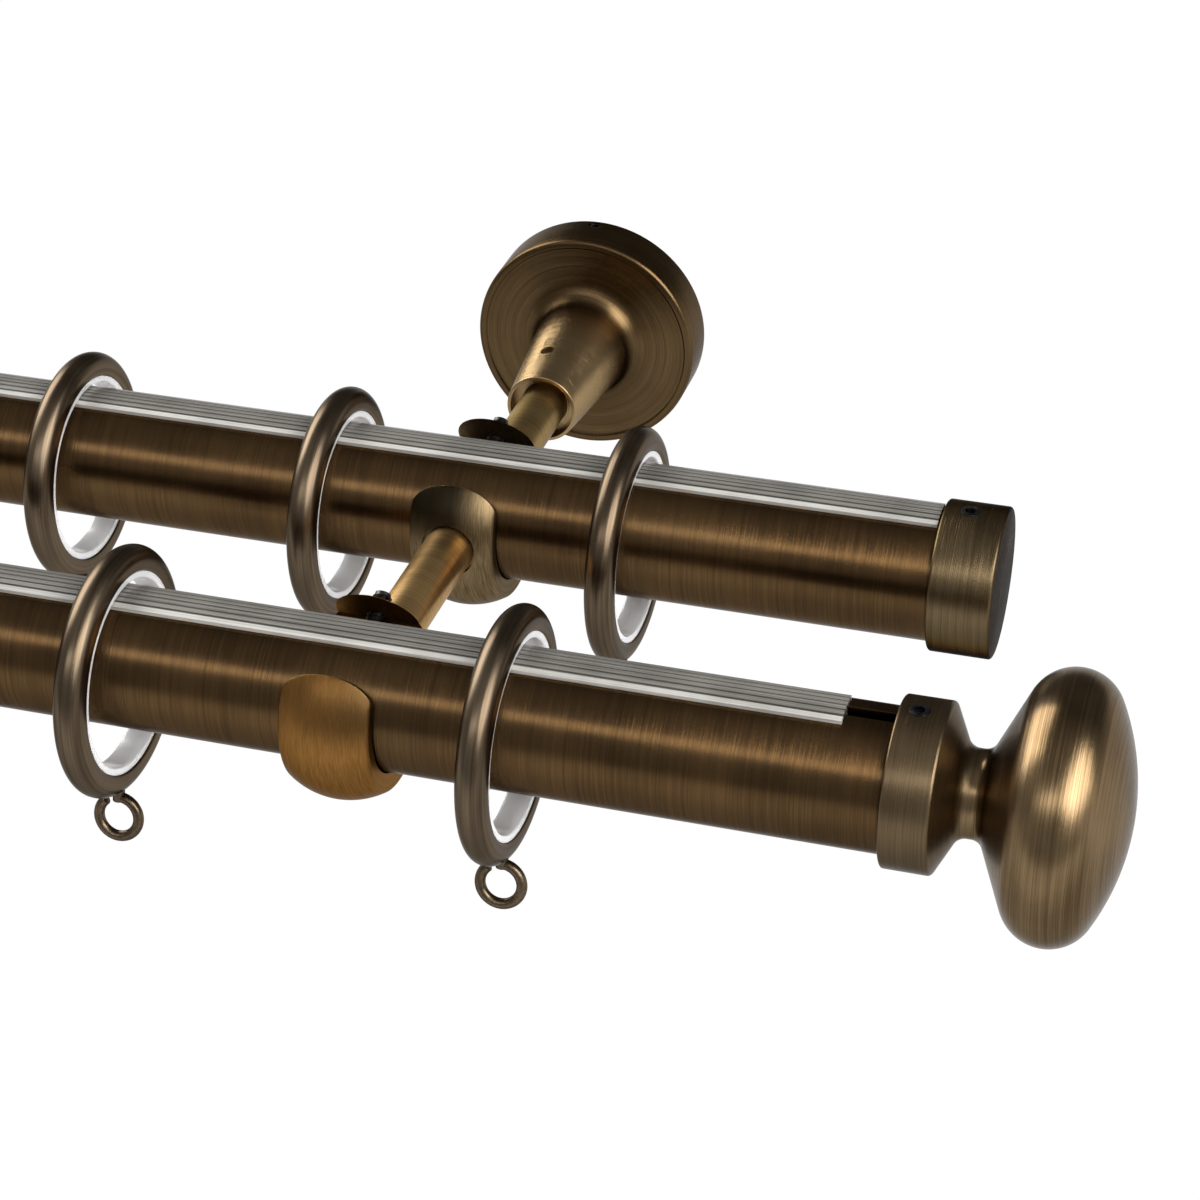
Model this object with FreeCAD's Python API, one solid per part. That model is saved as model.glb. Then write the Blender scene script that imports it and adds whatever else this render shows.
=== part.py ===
import FreeCAD, Part

import math
import os

from FreeCAD import Vector

# Double curtain pole: two slotted metal poles with ribbed glide strips, carried one before
# the other by two wall brackets, with lined rings that slide along them.
# Millimetres. X runs along the poles, +Y points into the wall, +Z is up. The origin is the
# centre of the right-hand bracket's wall face. Both poles lie at the height of the bracket.

# Poles and the slot along their very top
POLE_DIAMETER = 28.0
POLE_WALL = 1.2
POLE_LENGTH = 1000.0
SLOT_WIDTH = 3.0
POLE_OVERHANG = 112.4
WALL_TO_REAR_POLE = 93.0
POLE_SPACING = 75.0

# Ribbed strip clipped over the slot
STRIP_HALF_ANGLE = 17.5
STRIP_THICKNESS = 0.95
STRIP_RIBS = 5
STRIP_GROOVE_DEPTH = 0.3
STRIP_GROOVE_WIDTH = 0.45
STRIP_LIP_SHARE = 0.24
STRIP_WEB_CLEARANCE = 0.2
STRIP_BARB_REACH = 0.9
STRIP_BARB_THICKNESS = 0.8
STRIP_SEAT_GAP = 0.04
STRIP_SETBACK_AT_FINIAL = 9.6
STRIP_GAP_AT_CAP = 0.4

# Finial: collar, cone, neck and flattened ball turned in one piece
COLLAR_DIAMETER = 32.8
COLLAR_LENGTH = 9.2
COLLAR_OVERLAP = 5.8
FINIAL_CONE_LENGTH = 4.0
NECK_DIAMETER = 17.0
NECK_LENGTH = 4.1
NECK_FILLET = 2.6
KNOB_DIAMETER = 52.0
KNOB_RIM_RADIUS = 9.0
KNOB_NOSE_HEIGHT = 13.2
KNOB_CENTRE_FROM_POLE_END = 25.4
FINIAL_EDGE_ROUND = 0.6

# End cap: a plain turned cup
CAP_DIAMETER = 31.8
CAP_LENGTH = 13.0
CAP_END_WALL = 1.3
CAP_EDGE_ROUND = 0.7
SLEEVE_CLEARANCE = 0.04

# Wall rose with its trumpet cone
ROSE_DIAMETER = 52.6
ROSE_DEPTH = 11.9
ROSE_RIM_WALL = 2.4
ROSE_FACE_WALL = 3.4
ROSE_FACE_DISH = 0.7
ROSE_BEAD_WIDTH = 1.7
ROSE_BEAD_DEPTH = 0.35
ROSE_EDGE_ROUND = 0.9
CONE_MOUTH_DIAMETER = 16.2
CONE_ROOT_DIAMETER = 23.4
CONE_FILLET = 6.5
CONE_MOUTH_FROM_WALL = 46.3
CONE_LIP = 0.8
MOUTH_RECESS = 3.0
SOCKET_DEPTH = 26.0
SOCKET_CLEARANCE = 0.05

# Round wall plate hidden in the rose
PLATE_THICKNESS = 4.0
PLATE_CLEARANCE = 0.3
PLATE_SCREW_SPACING = 28.0
PLATE_SCREW_HOLE = 4.5

# Stems between wall, rear cradle and front cradle
STEM_DIAMETER = 10.5
STEM_CHAMFER = 0.5
SPIGOT_DIAMETER = 6.0
SPIGOT_CLEARANCE = 0.05
STEM_SEAT_MARGIN = 0.6
STEM_SEAT_DEPTH = 2.2

# Cast cradles: a crescent band under the pole that ends in two rounded tongues
CRADLE_WIDTH = 18.4
CRADLE_OUTER_DIAMETER = 40.0
CRADLE_DROP = 1.0
CRADLE_CROWN_RADIUS = 16.0
CRADLE_SEAT_GAP = 0.2
CRADLE_INNER_RELIEF = 0.8
CRADLE_EDGE_ROUND = 1.0
FRONT_TONGUE_ANGLE = 36.0
FRONT_TONGUE_TOP = 2.2
FRONT_TONGUE_CROWN = 5.0
REAR_TONGUE_REACH = 17.0

# Set screws and clamp screws
CLAMP_SCREW_DIAMETER = 4.0
CLAMP_SCREW_LENGTH = 7.7
CLAMP_SCREW_ANGLE = 33.0
CLAMP_TIP_GAP = 0.05
SCREW_HOLE_CLEARANCE = 0.05
HEX_SOCKET_SHARE = 0.5
HEX_SOCKET_DEPTH = 1.6
SCREW_POINT_SHARE = 0.5
END_SCREW_DIAMETER = 4.0
END_SCREW_PROUD = 0.1
CAP_SCREW_FROM_POLE_END = 6.2
FINIAL_SCREW_FROM_POLE_END = 1.9
ROSE_SCREW_DIAMETER = 3.0
RIM_SCREW_FROM_WALL = 2.1
CONE_SCREW_FROM_WALL = 34.7
CONE_SCREW_ANGLE = 13.0
RIM_SCREW_RECESS = 0.2
CONE_SCREW_RECESS = 0.3

# Curtain rings with nylon liner and screw eye
RING_OUTER_DIAMETER = 51.2
RING_WALL = 5.0
RING_WIDTH = 6.2
RING_BORE_ROUND = 0.8
LINER_THICKNESS = 1.4
LINER_WIDTH = 5.4
LINER_EDGE_ROUND = 0.4
LINER_PRESS_GAP = 0.02
RING_REST_GAP = 0.3
EYE_HOLE_DIAMETER = 6.4
EYE_WIRE_DIAMETER = 2.2
EYE_SHANK_DIAMETER = 2.5
EYE_SHANK_DEPTH = 2.6
EYE_STANDOFF = 0.6
EYE_SWING = 12.0
EYE_GAP_ANGLE = 38.0
EYE_SHANK_SHORTFALL = 0.2
REAR_RINGS_FROM_BRACKET = (34.0, -31.6, -92.4)
FRONT_RINGS_FROM_BRACKET = (31.3, -50.0)

# Places worked out from the driving sizes
POLE_RADIUS = POLE_DIAMETER / 2
POLE_BORE_RADIUS = POLE_RADIUS - POLE_WALL
REAR_POLE_Y = -WALL_TO_REAR_POLE
FRONT_POLE_Y = REAR_POLE_Y - POLE_SPACING
RIGHT_BRACKET_X = 0.0
LEFT_BRACKET_X = 2 * POLE_OVERHANG - POLE_LENGTH
POLE_END_X = POLE_OVERHANG
POLE_START_X = POLE_OVERHANG - POLE_LENGTH
MIDDLE_X = (POLE_END_X + POLE_START_X) / 2
STRIP_TOP_RADIUS = POLE_RADIUS + STRIP_SEAT_GAP + STRIP_THICKNESS
RING_BORE_RADIUS = RING_OUTER_DIAMETER / 2 - RING_WALL
LINER_BORE_RADIUS = RING_BORE_RADIUS - LINER_THICKNESS
RING_DROP = LINER_BORE_RADIUS - STRIP_TOP_RADIUS - RING_REST_GAP
ALONG_X = Vector(1, 0, 0)
ALONG_Y = Vector(0, 1, 0)
ALONG_Z = Vector(0, 0, 1)
CUT_MARGIN = 5.0
CUT_REACH = 2 * CRADLE_OUTER_DIAMETER


def outline(start, *steps):
    """Closed wire from a start point and steps: a point is a straight run, a pair of points
    an arc through the first to the second, and an edge is taken as it is."""
    edges = []
    here = start
    for step in steps:
        if isinstance(step, tuple):
            edges.append(Part.Arc(here, step[0], step[1]).toShape())
            here = step[1]
        elif isinstance(step, Part.Edge):
            edges.append(step)
            here = step.valueAt(step.LastParameter)
        else:
            edges.append(Part.LineSegment(here, step).toShape())
            here = step
    if here.distanceToPoint(start) > 1e-6:
        edges.append(Part.LineSegment(here, start).toShape())
    return Part.Wire(edges)


def corner(a, b, c, radius):
    """Start, middle and end of the arc that rounds corner b between runs to a and to c."""
    to_a = (a - b).normalize()
    to_c = (c - b).normalize()
    half = math.acos(max(-1.0, min(1.0, to_a.dot(to_c)))) / 2
    tangent = radius / math.tan(half)
    centre = b + (to_a + to_c).normalize() * (radius / math.sin(half))
    middle = centre + (b - centre).normalize() * radius
    return b + to_a * tangent, middle, b + to_c * tangent


def rod(radius, start, direction, length):
    return Part.makeCylinder(radius, length, start, direction)


def radial(angle_from_top):
    """Unit vector across the poles: 0 degrees is up, positive turns towards the front."""
    turn = math.radians(angle_from_top)
    return Vector(0, -math.sin(turn), math.cos(turn))


def mirrored(shape):
    """The same piece at the far end of the poles."""
    return shape.mirror(Vector(MIDDLE_X, 0, 0), ALONG_X)


def pole_tube(y):
    start = Vector(POLE_START_X, y, 0)
    tube = rod(POLE_RADIUS, start, ALONG_X, POLE_LENGTH).cut(
        rod(POLE_BORE_RADIUS, start, ALONG_X, POLE_LENGTH))
    slot = Part.makeBox(POLE_LENGTH, SLOT_WIDTH, POLE_RADIUS + CUT_MARGIN,
                        Vector(POLE_START_X, y - SLOT_WIDTH / 2, 0))
    return tube.cut(slot)


def ring_sector(inner, outer, angle_from, angle_to, x, y):
    """Wire of a curved band across the pole, between two radii and two angles from the top."""
    centre = Vector(x, y, 0)
    middle = (angle_from + angle_to) / 2
    return outline(centre + radial(angle_from) * outer,
                   (centre + radial(middle) * outer, centre + radial(angle_to) * outer),
                   centre + radial(angle_to) * inner,
                   (centre + radial(middle) * inner, centre + radial(angle_from) * inner))


def glide_strip(y, x_from, x_to):
    """Ribbed crown over the slot, with a web through it and a barb under each slot edge."""
    length = x_to - x_from
    seat = POLE_RADIUS + STRIP_SEAT_GAP
    crown = Part.Face(ring_sector(seat, STRIP_TOP_RADIUS, -STRIP_HALF_ANGLE, STRIP_HALF_ANGLE, x_from, y))
    crown = crown.extrude(ALONG_X * length)
    ribbed_angle = 2 * STRIP_HALF_ANGLE * (1 - STRIP_LIP_SHARE)
    groove_step = ribbed_angle / STRIP_RIBS
    half_groove = math.degrees(STRIP_GROOVE_WIDTH / 2 / STRIP_TOP_RADIUS)
    floor = STRIP_TOP_RADIUS - STRIP_GROOVE_DEPTH
    grooves = []
    for i in range(1, STRIP_RIBS + 1):
        angle = -STRIP_HALF_ANGLE + i * groove_step
        centre = Vector(x_from, y, 0)
        wire = outline(centre + radial(angle) * floor,
                       centre + radial(angle - half_groove) * (STRIP_TOP_RADIUS + STRIP_GROOVE_DEPTH),
                       centre + radial(angle + half_groove) * (STRIP_TOP_RADIUS + STRIP_GROOVE_DEPTH))
        grooves.append(Part.Face(wire).extrude(ALONG_X * length))
    crown = crown.cut(Part.makeCompound(grooves))
    half_web = SLOT_WIDTH / 2 - STRIP_WEB_CLEARANCE
    barb_top = math.sqrt(POLE_BORE_RADIUS ** 2 - (half_web + STRIP_BARB_REACH) ** 2) - STRIP_SEAT_GAP
    barb_foot = barb_top - STRIP_BARB_THICKNESS
    web_top = seat + STRIP_THICKNESS / 2
    web = outline(Vector(x_from, y - half_web, web_top),
                  Vector(x_from, y - half_web, barb_top),
                  Vector(x_from, y - half_web - STRIP_BARB_REACH, barb_top),
                  Vector(x_from, y - half_web, barb_foot),
                  Vector(x_from, y + half_web, barb_foot),
                  Vector(x_from, y + half_web + STRIP_BARB_REACH, barb_top),
                  Vector(x_from, y + half_web, barb_top),
                  Vector(x_from, y + half_web, web_top))
    return crown.fuse(Part.Face(web).extrude(ALONG_X * length)).removeSplitter()


def set_screw(radius, tip, direction, length):
    """Headless screw with a hexagon socket in its outer end and a short cone at its tip."""
    cone = radius * SCREW_POINT_SHARE
    body = rod(radius, tip + direction * cone, direction, length - cone)
    point = Part.makeCone(radius - cone, radius, cone, tip, direction)
    across_corners = HEX_SOCKET_SHARE * 2 * radius / math.sqrt(3)
    side = direction.cross(ALONG_Y).normalize()
    across = direction.cross(side)
    mouth = tip + direction * length
    corners = []
    for i in range(6):
        turn = math.radians(60 * i)
        corners.append(mouth + side * (math.cos(turn) * across_corners)
                       + across * (math.sin(turn) * across_corners))
    socket = Part.Face(outline(corners[0], *corners[1:])).extrude(direction * -HEX_SOCKET_DEPTH)
    return body.fuse(point).cut(socket).removeSplitter()


def turned(profile, y):
    """Solid of revolution about the pole axis at y; the profile lies in the plane above it."""
    return Part.Face(profile).revolve(Vector(0, y, 0), ALONG_X, 360)


def finial_screw_x():
    return POLE_END_X - FINIAL_SCREW_FROM_POLE_END


def cap_screw_x():
    return POLE_END_X - CAP_SCREW_FROM_POLE_END


def tangent_point(from_x, from_r, centre_x, centre_r, radius):
    """Where a straight line from a point touches a circle on its near and outer side."""
    dx = centre_x - from_x
    dr = centre_r - from_r
    distance = math.hypot(dx, dr)
    turn = math.atan2(dr, dx) + math.asin(radius / distance)
    reach = math.sqrt(distance ** 2 - radius ** 2)
    return from_x + reach * math.cos(turn), from_r + reach * math.sin(turn)


def finial():
    """Collar sleeved over the pole, cone, neck and flattened ball."""
    y = FRONT_POLE_Y
    collar_start = POLE_END_X - COLLAR_OVERLAP
    collar_end = collar_start + COLLAR_LENGTH
    bore = POLE_RADIUS + SLEEVE_CLEARANCE
    inside = POLE_END_X + SLEEVE_CLEARANCE
    collar = COLLAR_DIAMETER / 2
    neck = NECK_DIAMETER / 2
    cone_end = collar_end + FINIAL_CONE_LENGTH
    neck_end = cone_end + NECK_LENGTH

    def at(x, r):
        return Vector(x, y, r)

    # The knob is a rim arc and a flatter nose arc that meet smoothly
    knob_x = POLE_END_X + KNOB_CENTRE_FROM_POLE_END
    rim_r = KNOB_DIAMETER / 2 - KNOB_RIM_RADIUS
    nose_x = knob_x + KNOB_NOSE_HEIGHT
    nose_radius = ((KNOB_NOSE_HEIGHT ** 2 + rim_r ** 2 - KNOB_RIM_RADIUS ** 2)
                   / (2 * (KNOB_NOSE_HEIGHT - KNOB_RIM_RADIUS)))
    nose_centre = at(nose_x - nose_radius, 0)
    rim_centre = at(knob_x, rim_r)
    meets = rim_centre + (rim_centre - nose_centre).normalize() * KNOB_RIM_RADIUS
    flare_x, flare_r = tangent_point(neck_end, neck, knob_x, rim_r, KNOB_RIM_RADIUS)
    rim_top = at(knob_x, rim_r + KNOB_RIM_RADIUS)
    halfway = math.asin(meets.distanceToPoint(at(meets.x, 0)) / nose_radius) / 2
    nose_mid = nose_centre + at(math.cos(halfway) * nose_radius, math.sin(halfway) * nose_radius) - at(0, 0)
    edge = FINIAL_EDGE_ROUND
    a1, m1, b1 = corner(at(collar_start, bore), at(collar_start, collar), at(collar_end, collar), edge)
    a2, m2, b2 = corner(at(collar_start, collar), at(collar_end, collar), at(cone_end, neck), edge)
    a3, m3, b3 = corner(at(collar_end, collar), at(cone_end, neck), at(neck_end, neck), NECK_FILLET)
    a4, m4, b4 = corner(at(cone_end, neck), at(neck_end, neck), at(flare_x, flare_r), NECK_FILLET)
    profile = outline(at(inside, 0), at(inside, bore), at(collar_start, bore),
                      a1, (m1, b1), a2, (m2, b2), a3, (m3, b3), a4, (m4, b4),
                      at(flare_x, flare_r), (rim_top, meets), (nose_mid, at(nose_x, 0)))
    body = turned(profile, y)
    hole = rod(END_SCREW_DIAMETER / 2 + SCREW_HOLE_CLEARANCE, Vector(finial_screw_x(), y, 0),
               ALONG_Z, COLLAR_DIAMETER)
    return body.cut(hole)


def end_cap():
    """Plain cup sleeved over the pole's end."""
    y = REAR_POLE_Y
    outer = CAP_DIAMETER / 2
    bore = POLE_RADIUS + SLEEVE_CLEARANCE
    inside = POLE_END_X + SLEEVE_CLEARANCE
    end = inside + CAP_END_WALL
    start = end - CAP_LENGTH

    def at(x, r):
        return Vector(x, y, r)

    a1, m1, b1 = corner(at(start, bore), at(start, outer), at(end, outer), CAP_EDGE_ROUND)
    a2, m2, b2 = corner(at(start, outer), at(end, outer), at(end, 0), CAP_EDGE_ROUND)
    inner = (at(inside, 0), at(inside, bore), at(start, bore))
    profile = outline(*inner, a1, (m1, b1), a2, (m2, b2), at(end, 0))
    hole = rod(END_SCREW_DIAMETER / 2 + SCREW_HOLE_CLEARANCE, Vector(cap_screw_x(), y, 0),
               ALONG_Z, CAP_DIAMETER)
    return turned(profile, y).cut(hole)


def end_screw(x, y, sleeve_diameter):
    """Set screw above the slot, its point between the slot's edges."""
    tip = Vector(x, y, POLE_RADIUS + CLAMP_TIP_GAP)
    length = sleeve_diameter / 2 + END_SCREW_PROUD - tip.z
    return set_screw(END_SCREW_DIAMETER / 2, tip, ALONG_Z, length)


def rose(x):
    """Turned cover: hollow behind the rim, dished face, concave root and tapered socket cone."""
    outer = ROSE_DIAMETER / 2
    mouth = CONE_MOUTH_DIAMETER / 2
    root = CONE_ROOT_DIAMETER / 2
    socket = STEM_DIAMETER / 2 + SOCKET_CLEARANCE
    hollow = outer - ROSE_RIM_WALL
    floor = ROSE_DEPTH - ROSE_FACE_WALL
    face = ROSE_DEPTH - ROSE_FACE_DISH

    def at(depth, r):
        return Vector(x, -depth, r)

    bead = at(ROSE_DEPTH, outer - ROSE_BEAD_WIDTH)
    a1, m1, b1 = corner(at(0, outer), at(ROSE_DEPTH, outer), bead, ROSE_EDGE_ROUND)
    a2, m2, b2 = corner(at(face, hollow), at(face, root), at(CONE_MOUTH_FROM_WALL, mouth), CONE_FILLET)
    profile = outline(at(0, hollow), at(0, outer), a1, (m1, b1),
                      at(ROSE_DEPTH, outer - ROSE_BEAD_WIDTH),
                      at(ROSE_DEPTH - ROSE_BEAD_DEPTH, outer - ROSE_BEAD_WIDTH - ROSE_BEAD_DEPTH),
                      a2, (m2, b2),
                      at(CONE_MOUTH_FROM_WALL, mouth),
                      at(CONE_MOUTH_FROM_WALL, mouth - CONE_LIP),
                      at(CONE_MOUTH_FROM_WALL - MOUTH_RECESS, mouth - CONE_LIP),
                      at(CONE_MOUTH_FROM_WALL - MOUTH_RECESS, socket),
                      at(CONE_MOUTH_FROM_WALL - SOCKET_DEPTH, socket),
                      at(CONE_MOUTH_FROM_WALL - SOCKET_DEPTH, 0),
                      at(floor, 0), at(floor, hollow))
    body = Part.Face(profile).revolve(Vector(x, 0, 0), ALONG_Y, 360)
    bore = ROSE_SCREW_DIAMETER / 2 + SCREW_HOLE_CLEARANCE
    rim_hole = rod(bore, Vector(x, -RIM_SCREW_FROM_WALL, 0), ALONG_Z, ROSE_DIAMETER)
    cone_hole = rod(bore, Vector(x, -CONE_SCREW_FROM_WALL, 0), cone_screw_direction(), ROSE_DIAMETER)
    return body.cut(rim_hole).cut(cone_hole)


def cone_screw_direction():
    turn = math.radians(CONE_SCREW_ANGLE)
    return Vector(-math.sin(turn), 0, math.cos(turn))


def cone_radius_at(depth):
    share = (depth - ROSE_DEPTH + ROSE_FACE_DISH) / (CONE_MOUTH_FROM_WALL - ROSE_DEPTH + ROSE_FACE_DISH)
    return (CONE_ROOT_DIAMETER + (CONE_MOUTH_DIAMETER - CONE_ROOT_DIAMETER) * share) / 2


def rose_screws(x):
    """Set screw in the rim against the wall plate, and set screw in the cone against the stem."""
    plate = ROSE_DIAMETER / 2 - ROSE_RIM_WALL - PLATE_CLEARANCE
    rim_tip = Vector(x, -RIM_SCREW_FROM_WALL, plate + CLAMP_TIP_GAP)
    rim_length = ROSE_DIAMETER / 2 - RIM_SCREW_RECESS - rim_tip.z
    rim = set_screw(ROSE_SCREW_DIAMETER / 2, rim_tip, ALONG_Z, rim_length)
    direction = cone_screw_direction()
    start = STEM_DIAMETER / 2 + CLAMP_TIP_GAP
    cone_tip = Vector(x, -CONE_SCREW_FROM_WALL, 0) + direction * start
    length = cone_radius_at(CONE_SCREW_FROM_WALL) - CONE_SCREW_RECESS - start
    cone = set_screw(ROSE_SCREW_DIAMETER / 2, cone_tip, direction, length)
    return Part.makeCompound([rim, cone])


def wall_plate(x):
    """Round plate with two wall screw holes."""
    radius = ROSE_DIAMETER / 2 - ROSE_RIM_WALL - PLATE_CLEARANCE
    start = Vector(x, -PLATE_THICKNESS, 0)
    plate = rod(radius, start, ALONG_Y, PLATE_THICKNESS)
    for side in (-1, 1):
        place = start + ALONG_Z * (side * PLATE_SCREW_SPACING / 2)
        plate = plate.cut(rod(PLATE_SCREW_HOLE / 2, place, ALONG_Y, PLATE_THICKNESS))
    return plate


def stem(x, y_front, y_back, spigot_front, spigot_back):
    """Round rod with a thinner screwed spigot where it enters a cradle."""
    body = rod(STEM_DIAMETER / 2, Vector(x, y_front, 0), ALONG_Y, y_back - y_front)
    body = body.makeChamfer(STEM_CHAMFER, [e for e in body.Edges if e.Closed])
    for y, length in ((y_front - spigot_front, spigot_front), (y_back, spigot_back)):
        if length > 0:
            body = body.fuse(rod(SPIGOT_DIAMETER / 2, Vector(x, y, 0), ALONG_Y, length))
    return body


def cradle_outer_reach():
    """Distance of the cradle's outer face from the pole's axis, level with that axis."""
    return math.sqrt((CRADLE_OUTER_DIAMETER / 2) ** 2 - CRADLE_DROP ** 2)


def cradle_inner_radius():
    return POLE_RADIUS + CRADLE_SEAT_GAP + CRADLE_INNER_RELIEF


def cradle_inner_reach():
    return math.sqrt(cradle_inner_radius() ** 2 - CRADLE_INNER_RELIEF ** 2)


def stem_seat_reach():
    """Distance of a stem's shoulder from the pole's axis, in the spot face cut for it."""
    return cradle_outer_reach() - STEM_SEAT_DEPTH


def crowned_barrel(x, y):
    """Turned blank of a cradle: wider in the middle than at its two flat sides."""
    half = CRADLE_WIDTH / 2
    outer = CRADLE_OUTER_DIAMETER / 2
    crown = CRADLE_CROWN_RADIUS
    rim = outer - crown + math.sqrt(crown ** 2 - half ** 2)

    def at(dx, r):
        return Vector(x + dx, y, r - CRADLE_DROP)

    # Tangents of the crown where it runs into the two rounded rims
    ahead = Vector(rim - outer + crown, 0, half)
    a1, m1, b1 = corner(at(-half, 0), at(-half, rim), at(-half, rim) + ahead, CRADLE_EDGE_ROUND)
    back = Vector(-ahead.x, 0, ahead.z)
    a2, m2, b2 = corner(at(half, rim) + back, at(half, rim), at(half, 0), CRADLE_EDGE_ROUND)
    profile = outline(at(-half, 0), a1, (m1, b1), (at(0, outer), a2), (m2, b2), at(half, 0))
    return Part.Face(profile).revolve(at(0, 0), ALONG_X, 360)


def cradle_mouth(x, y):
    """Space between the tongues: upright behind the pole, then square to the clamp screw."""
    start = Vector(x - CRADLE_WIDTH / 2, y, 0)
    wall = cradle_inner_radius()
    screw = radial(CLAMP_SCREW_ANGLE - 90)
    across = radial(CLAMP_SCREW_ANGLE)
    # The tongue's inner face meets the upright wall where both are at the same depth
    rise = (REAR_TONGUE_REACH * screw.y - wall) / -across.y
    bend = start + screw * REAR_TONGUE_REACH + across * rise
    front = radial(90 - FRONT_TONGUE_ANGLE)
    along_front = radial(-FRONT_TONGUE_ANGLE)
    front_lip = start + along_front * FRONT_TONGUE_TOP
    wire = outline(start + ALONG_Y * wall, bend, bend + across * CUT_REACH, front_lip + front * CUT_REACH, front_lip)
    return Part.Face(wire).extrude(ALONG_X * CRADLE_WIDTH)


def front_tongue_shield(x, y):
    """Prism that leaves the front tongue's rounded top and takes the corners beside it."""
    half = CRADLE_WIDTH / 2
    front = radial(90 - FRONT_TONGUE_ANGLE)
    along_front = radial(-FRONT_TONGUE_ANGLE)
    middle = Vector(x, y, 0) + along_front * (FRONT_TONGUE_TOP - FRONT_TONGUE_CROWN) - front * CUT_REACH
    rounding = Part.Ellipse(middle + ALONG_X * half, middle + along_front * FRONT_TONGUE_CROWN, middle)
    top = Part.Edge(Part.ArcOfEllipse(rounding, 0, math.pi))
    foot_left = middle - ALONG_X * half - along_front * CUT_REACH
    foot_right = middle + ALONG_X * half - along_front * CUT_REACH
    wire = outline(middle + ALONG_X * half, top, foot_left, foot_right)
    return Part.Face(wire).extrude(front * 2 * CUT_REACH)


def cradle(x, y, stem_sides):
    """Crowned cup under the pole with two tongues, bored for the stems and the clamp screw."""
    base = Vector(x - CRADLE_WIDTH / 2, y, 0)
    cup = crowned_barrel(x, y)
    cup = cup.cut(rod(cradle_inner_radius(), base + ALONG_Z * CRADLE_INNER_RELIEF, ALONG_X, CRADLE_WIDTH))
    cup = cup.cut(cradle_mouth(x, y))
    corner_of_box = base - (ALONG_Y + ALONG_Z) * CUT_REACH
    front_half = Part.makeBox(CRADLE_WIDTH, CUT_REACH, 2 * CUT_REACH, corner_of_box)
    cup = cup.cut(front_half.cut(front_tongue_shield(x, y)))
    outer = CRADLE_OUTER_DIAMETER / 2
    for side in stem_sides:
        outwards = ALONG_Y * side
        spigot = SPIGOT_DIAMETER / 2 + SPIGOT_CLEARANCE
        cup = cup.cut(rod(spigot, Vector(x, y, 0), outwards, outer + CUT_MARGIN))
        seat = STEM_DIAMETER / 2 + STEM_SEAT_MARGIN
        cup = cup.cut(rod(seat, Vector(x, y, 0) + outwards * stem_seat_reach(), outwards, CUT_MARGIN))
    screw = CLAMP_SCREW_DIAMETER / 2 + SCREW_HOLE_CLEARANCE
    return cup.cut(rod(screw, Vector(x, y, 0), radial(CLAMP_SCREW_ANGLE - 90), outer + CUT_MARGIN))


def clamp_screw(x, y):
    """Headless screw through the rear tongue, its tip on the pole."""
    direction = radial(CLAMP_SCREW_ANGLE - 90)
    tip = Vector(x, y, 0) + direction * (POLE_RADIUS + CLAMP_TIP_GAP)
    return set_screw(CLAMP_SCREW_DIAMETER / 2, tip, direction, CLAMP_SCREW_LENGTH)


def ring_centre(x, y):
    return Vector(x, y, -RING_DROP)


def ring_body(x, y):
    """Turned ring: flat bore with rounded corners and a half-round outside, drilled for the eye."""
    half = RING_WIDTH / 2
    outer = RING_OUTER_DIAMETER / 2
    bore = RING_BORE_RADIUS
    shoulder = outer - half
    c = ring_centre(x, y)

    def at(dx, r):
        return Vector(c.x + dx, c.y, c.z + r)

    a1, m1, b1 = corner(at(half, shoulder), at(half, bore), at(-half, bore), RING_BORE_ROUND)
    a2, m2, b2 = corner(at(half, bore), at(-half, bore), at(-half, shoulder), RING_BORE_ROUND)
    profile = outline(at(-half, shoulder), (at(0, outer), at(half, shoulder)), a1, (m1, b1), a2, (m2, b2))
    ring = Part.Face(profile).revolve(c, ALONG_X, 360)
    down = radial(180 - EYE_SWING)
    start = c + down * (outer - EYE_SHANK_DEPTH)
    hole = rod(EYE_SHANK_DIAMETER / 2 + SPIGOT_CLEARANCE, start, down, EYE_SHANK_DEPTH * 2)
    return ring.cut(hole)


def ring_liner(x, y):
    """Nylon band pressed into the ring's bore."""
    half = LINER_WIDTH / 2
    outer = RING_BORE_RADIUS - LINER_PRESS_GAP
    bore = LINER_BORE_RADIUS
    c = ring_centre(x, y)

    def at(dx, r):
        return Vector(c.x + dx, c.y, c.z + r)

    a1, m1, b1 = corner(at(half, outer), at(half, bore), at(-half, bore), LINER_EDGE_ROUND)
    a2, m2, b2 = corner(at(half, bore), at(-half, bore), at(-half, outer), LINER_EDGE_ROUND)
    profile = outline(at(-half, outer), at(half, outer), a1, (m1, b1), a2, (m2, b2))
    return Part.Face(profile).revolve(c, ALONG_X, 360)


def ring_eyelet(x, y):
    """Screw eye bent from one wire: a shank in the ring and an almost closed loop across it."""
    wire = EYE_WIRE_DIAMETER / 2
    loop = EYE_HOLE_DIAMETER / 2 + wire
    outer = RING_OUTER_DIAMETER / 2
    down = radial(180 - EYE_SWING)
    across = down.cross(ALONG_X)
    centre = ring_centre(x, y) + down * (outer + EYE_STANDOFF + wire + loop)
    section = Part.Face(Part.Wire(Part.makeCircle(wire, centre - down * loop, ALONG_X)))
    eye = section.revolve(centre, across, 360 - EYE_GAP_ANGLE)
    shank_start = outer - EYE_SHANK_DEPTH + SPIGOT_CLEARANCE
    shank_length = EYE_SHANK_DEPTH - SPIGOT_CLEARANCE + EYE_STANDOFF + EYE_WIRE_DIAMETER - EYE_SHANK_SHORTFALL
    shank = rod(EYE_SHANK_DIAMETER / 2, ring_centre(x, y) + down * shank_start, down, shank_length)
    return eye.fuse(shank)


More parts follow.
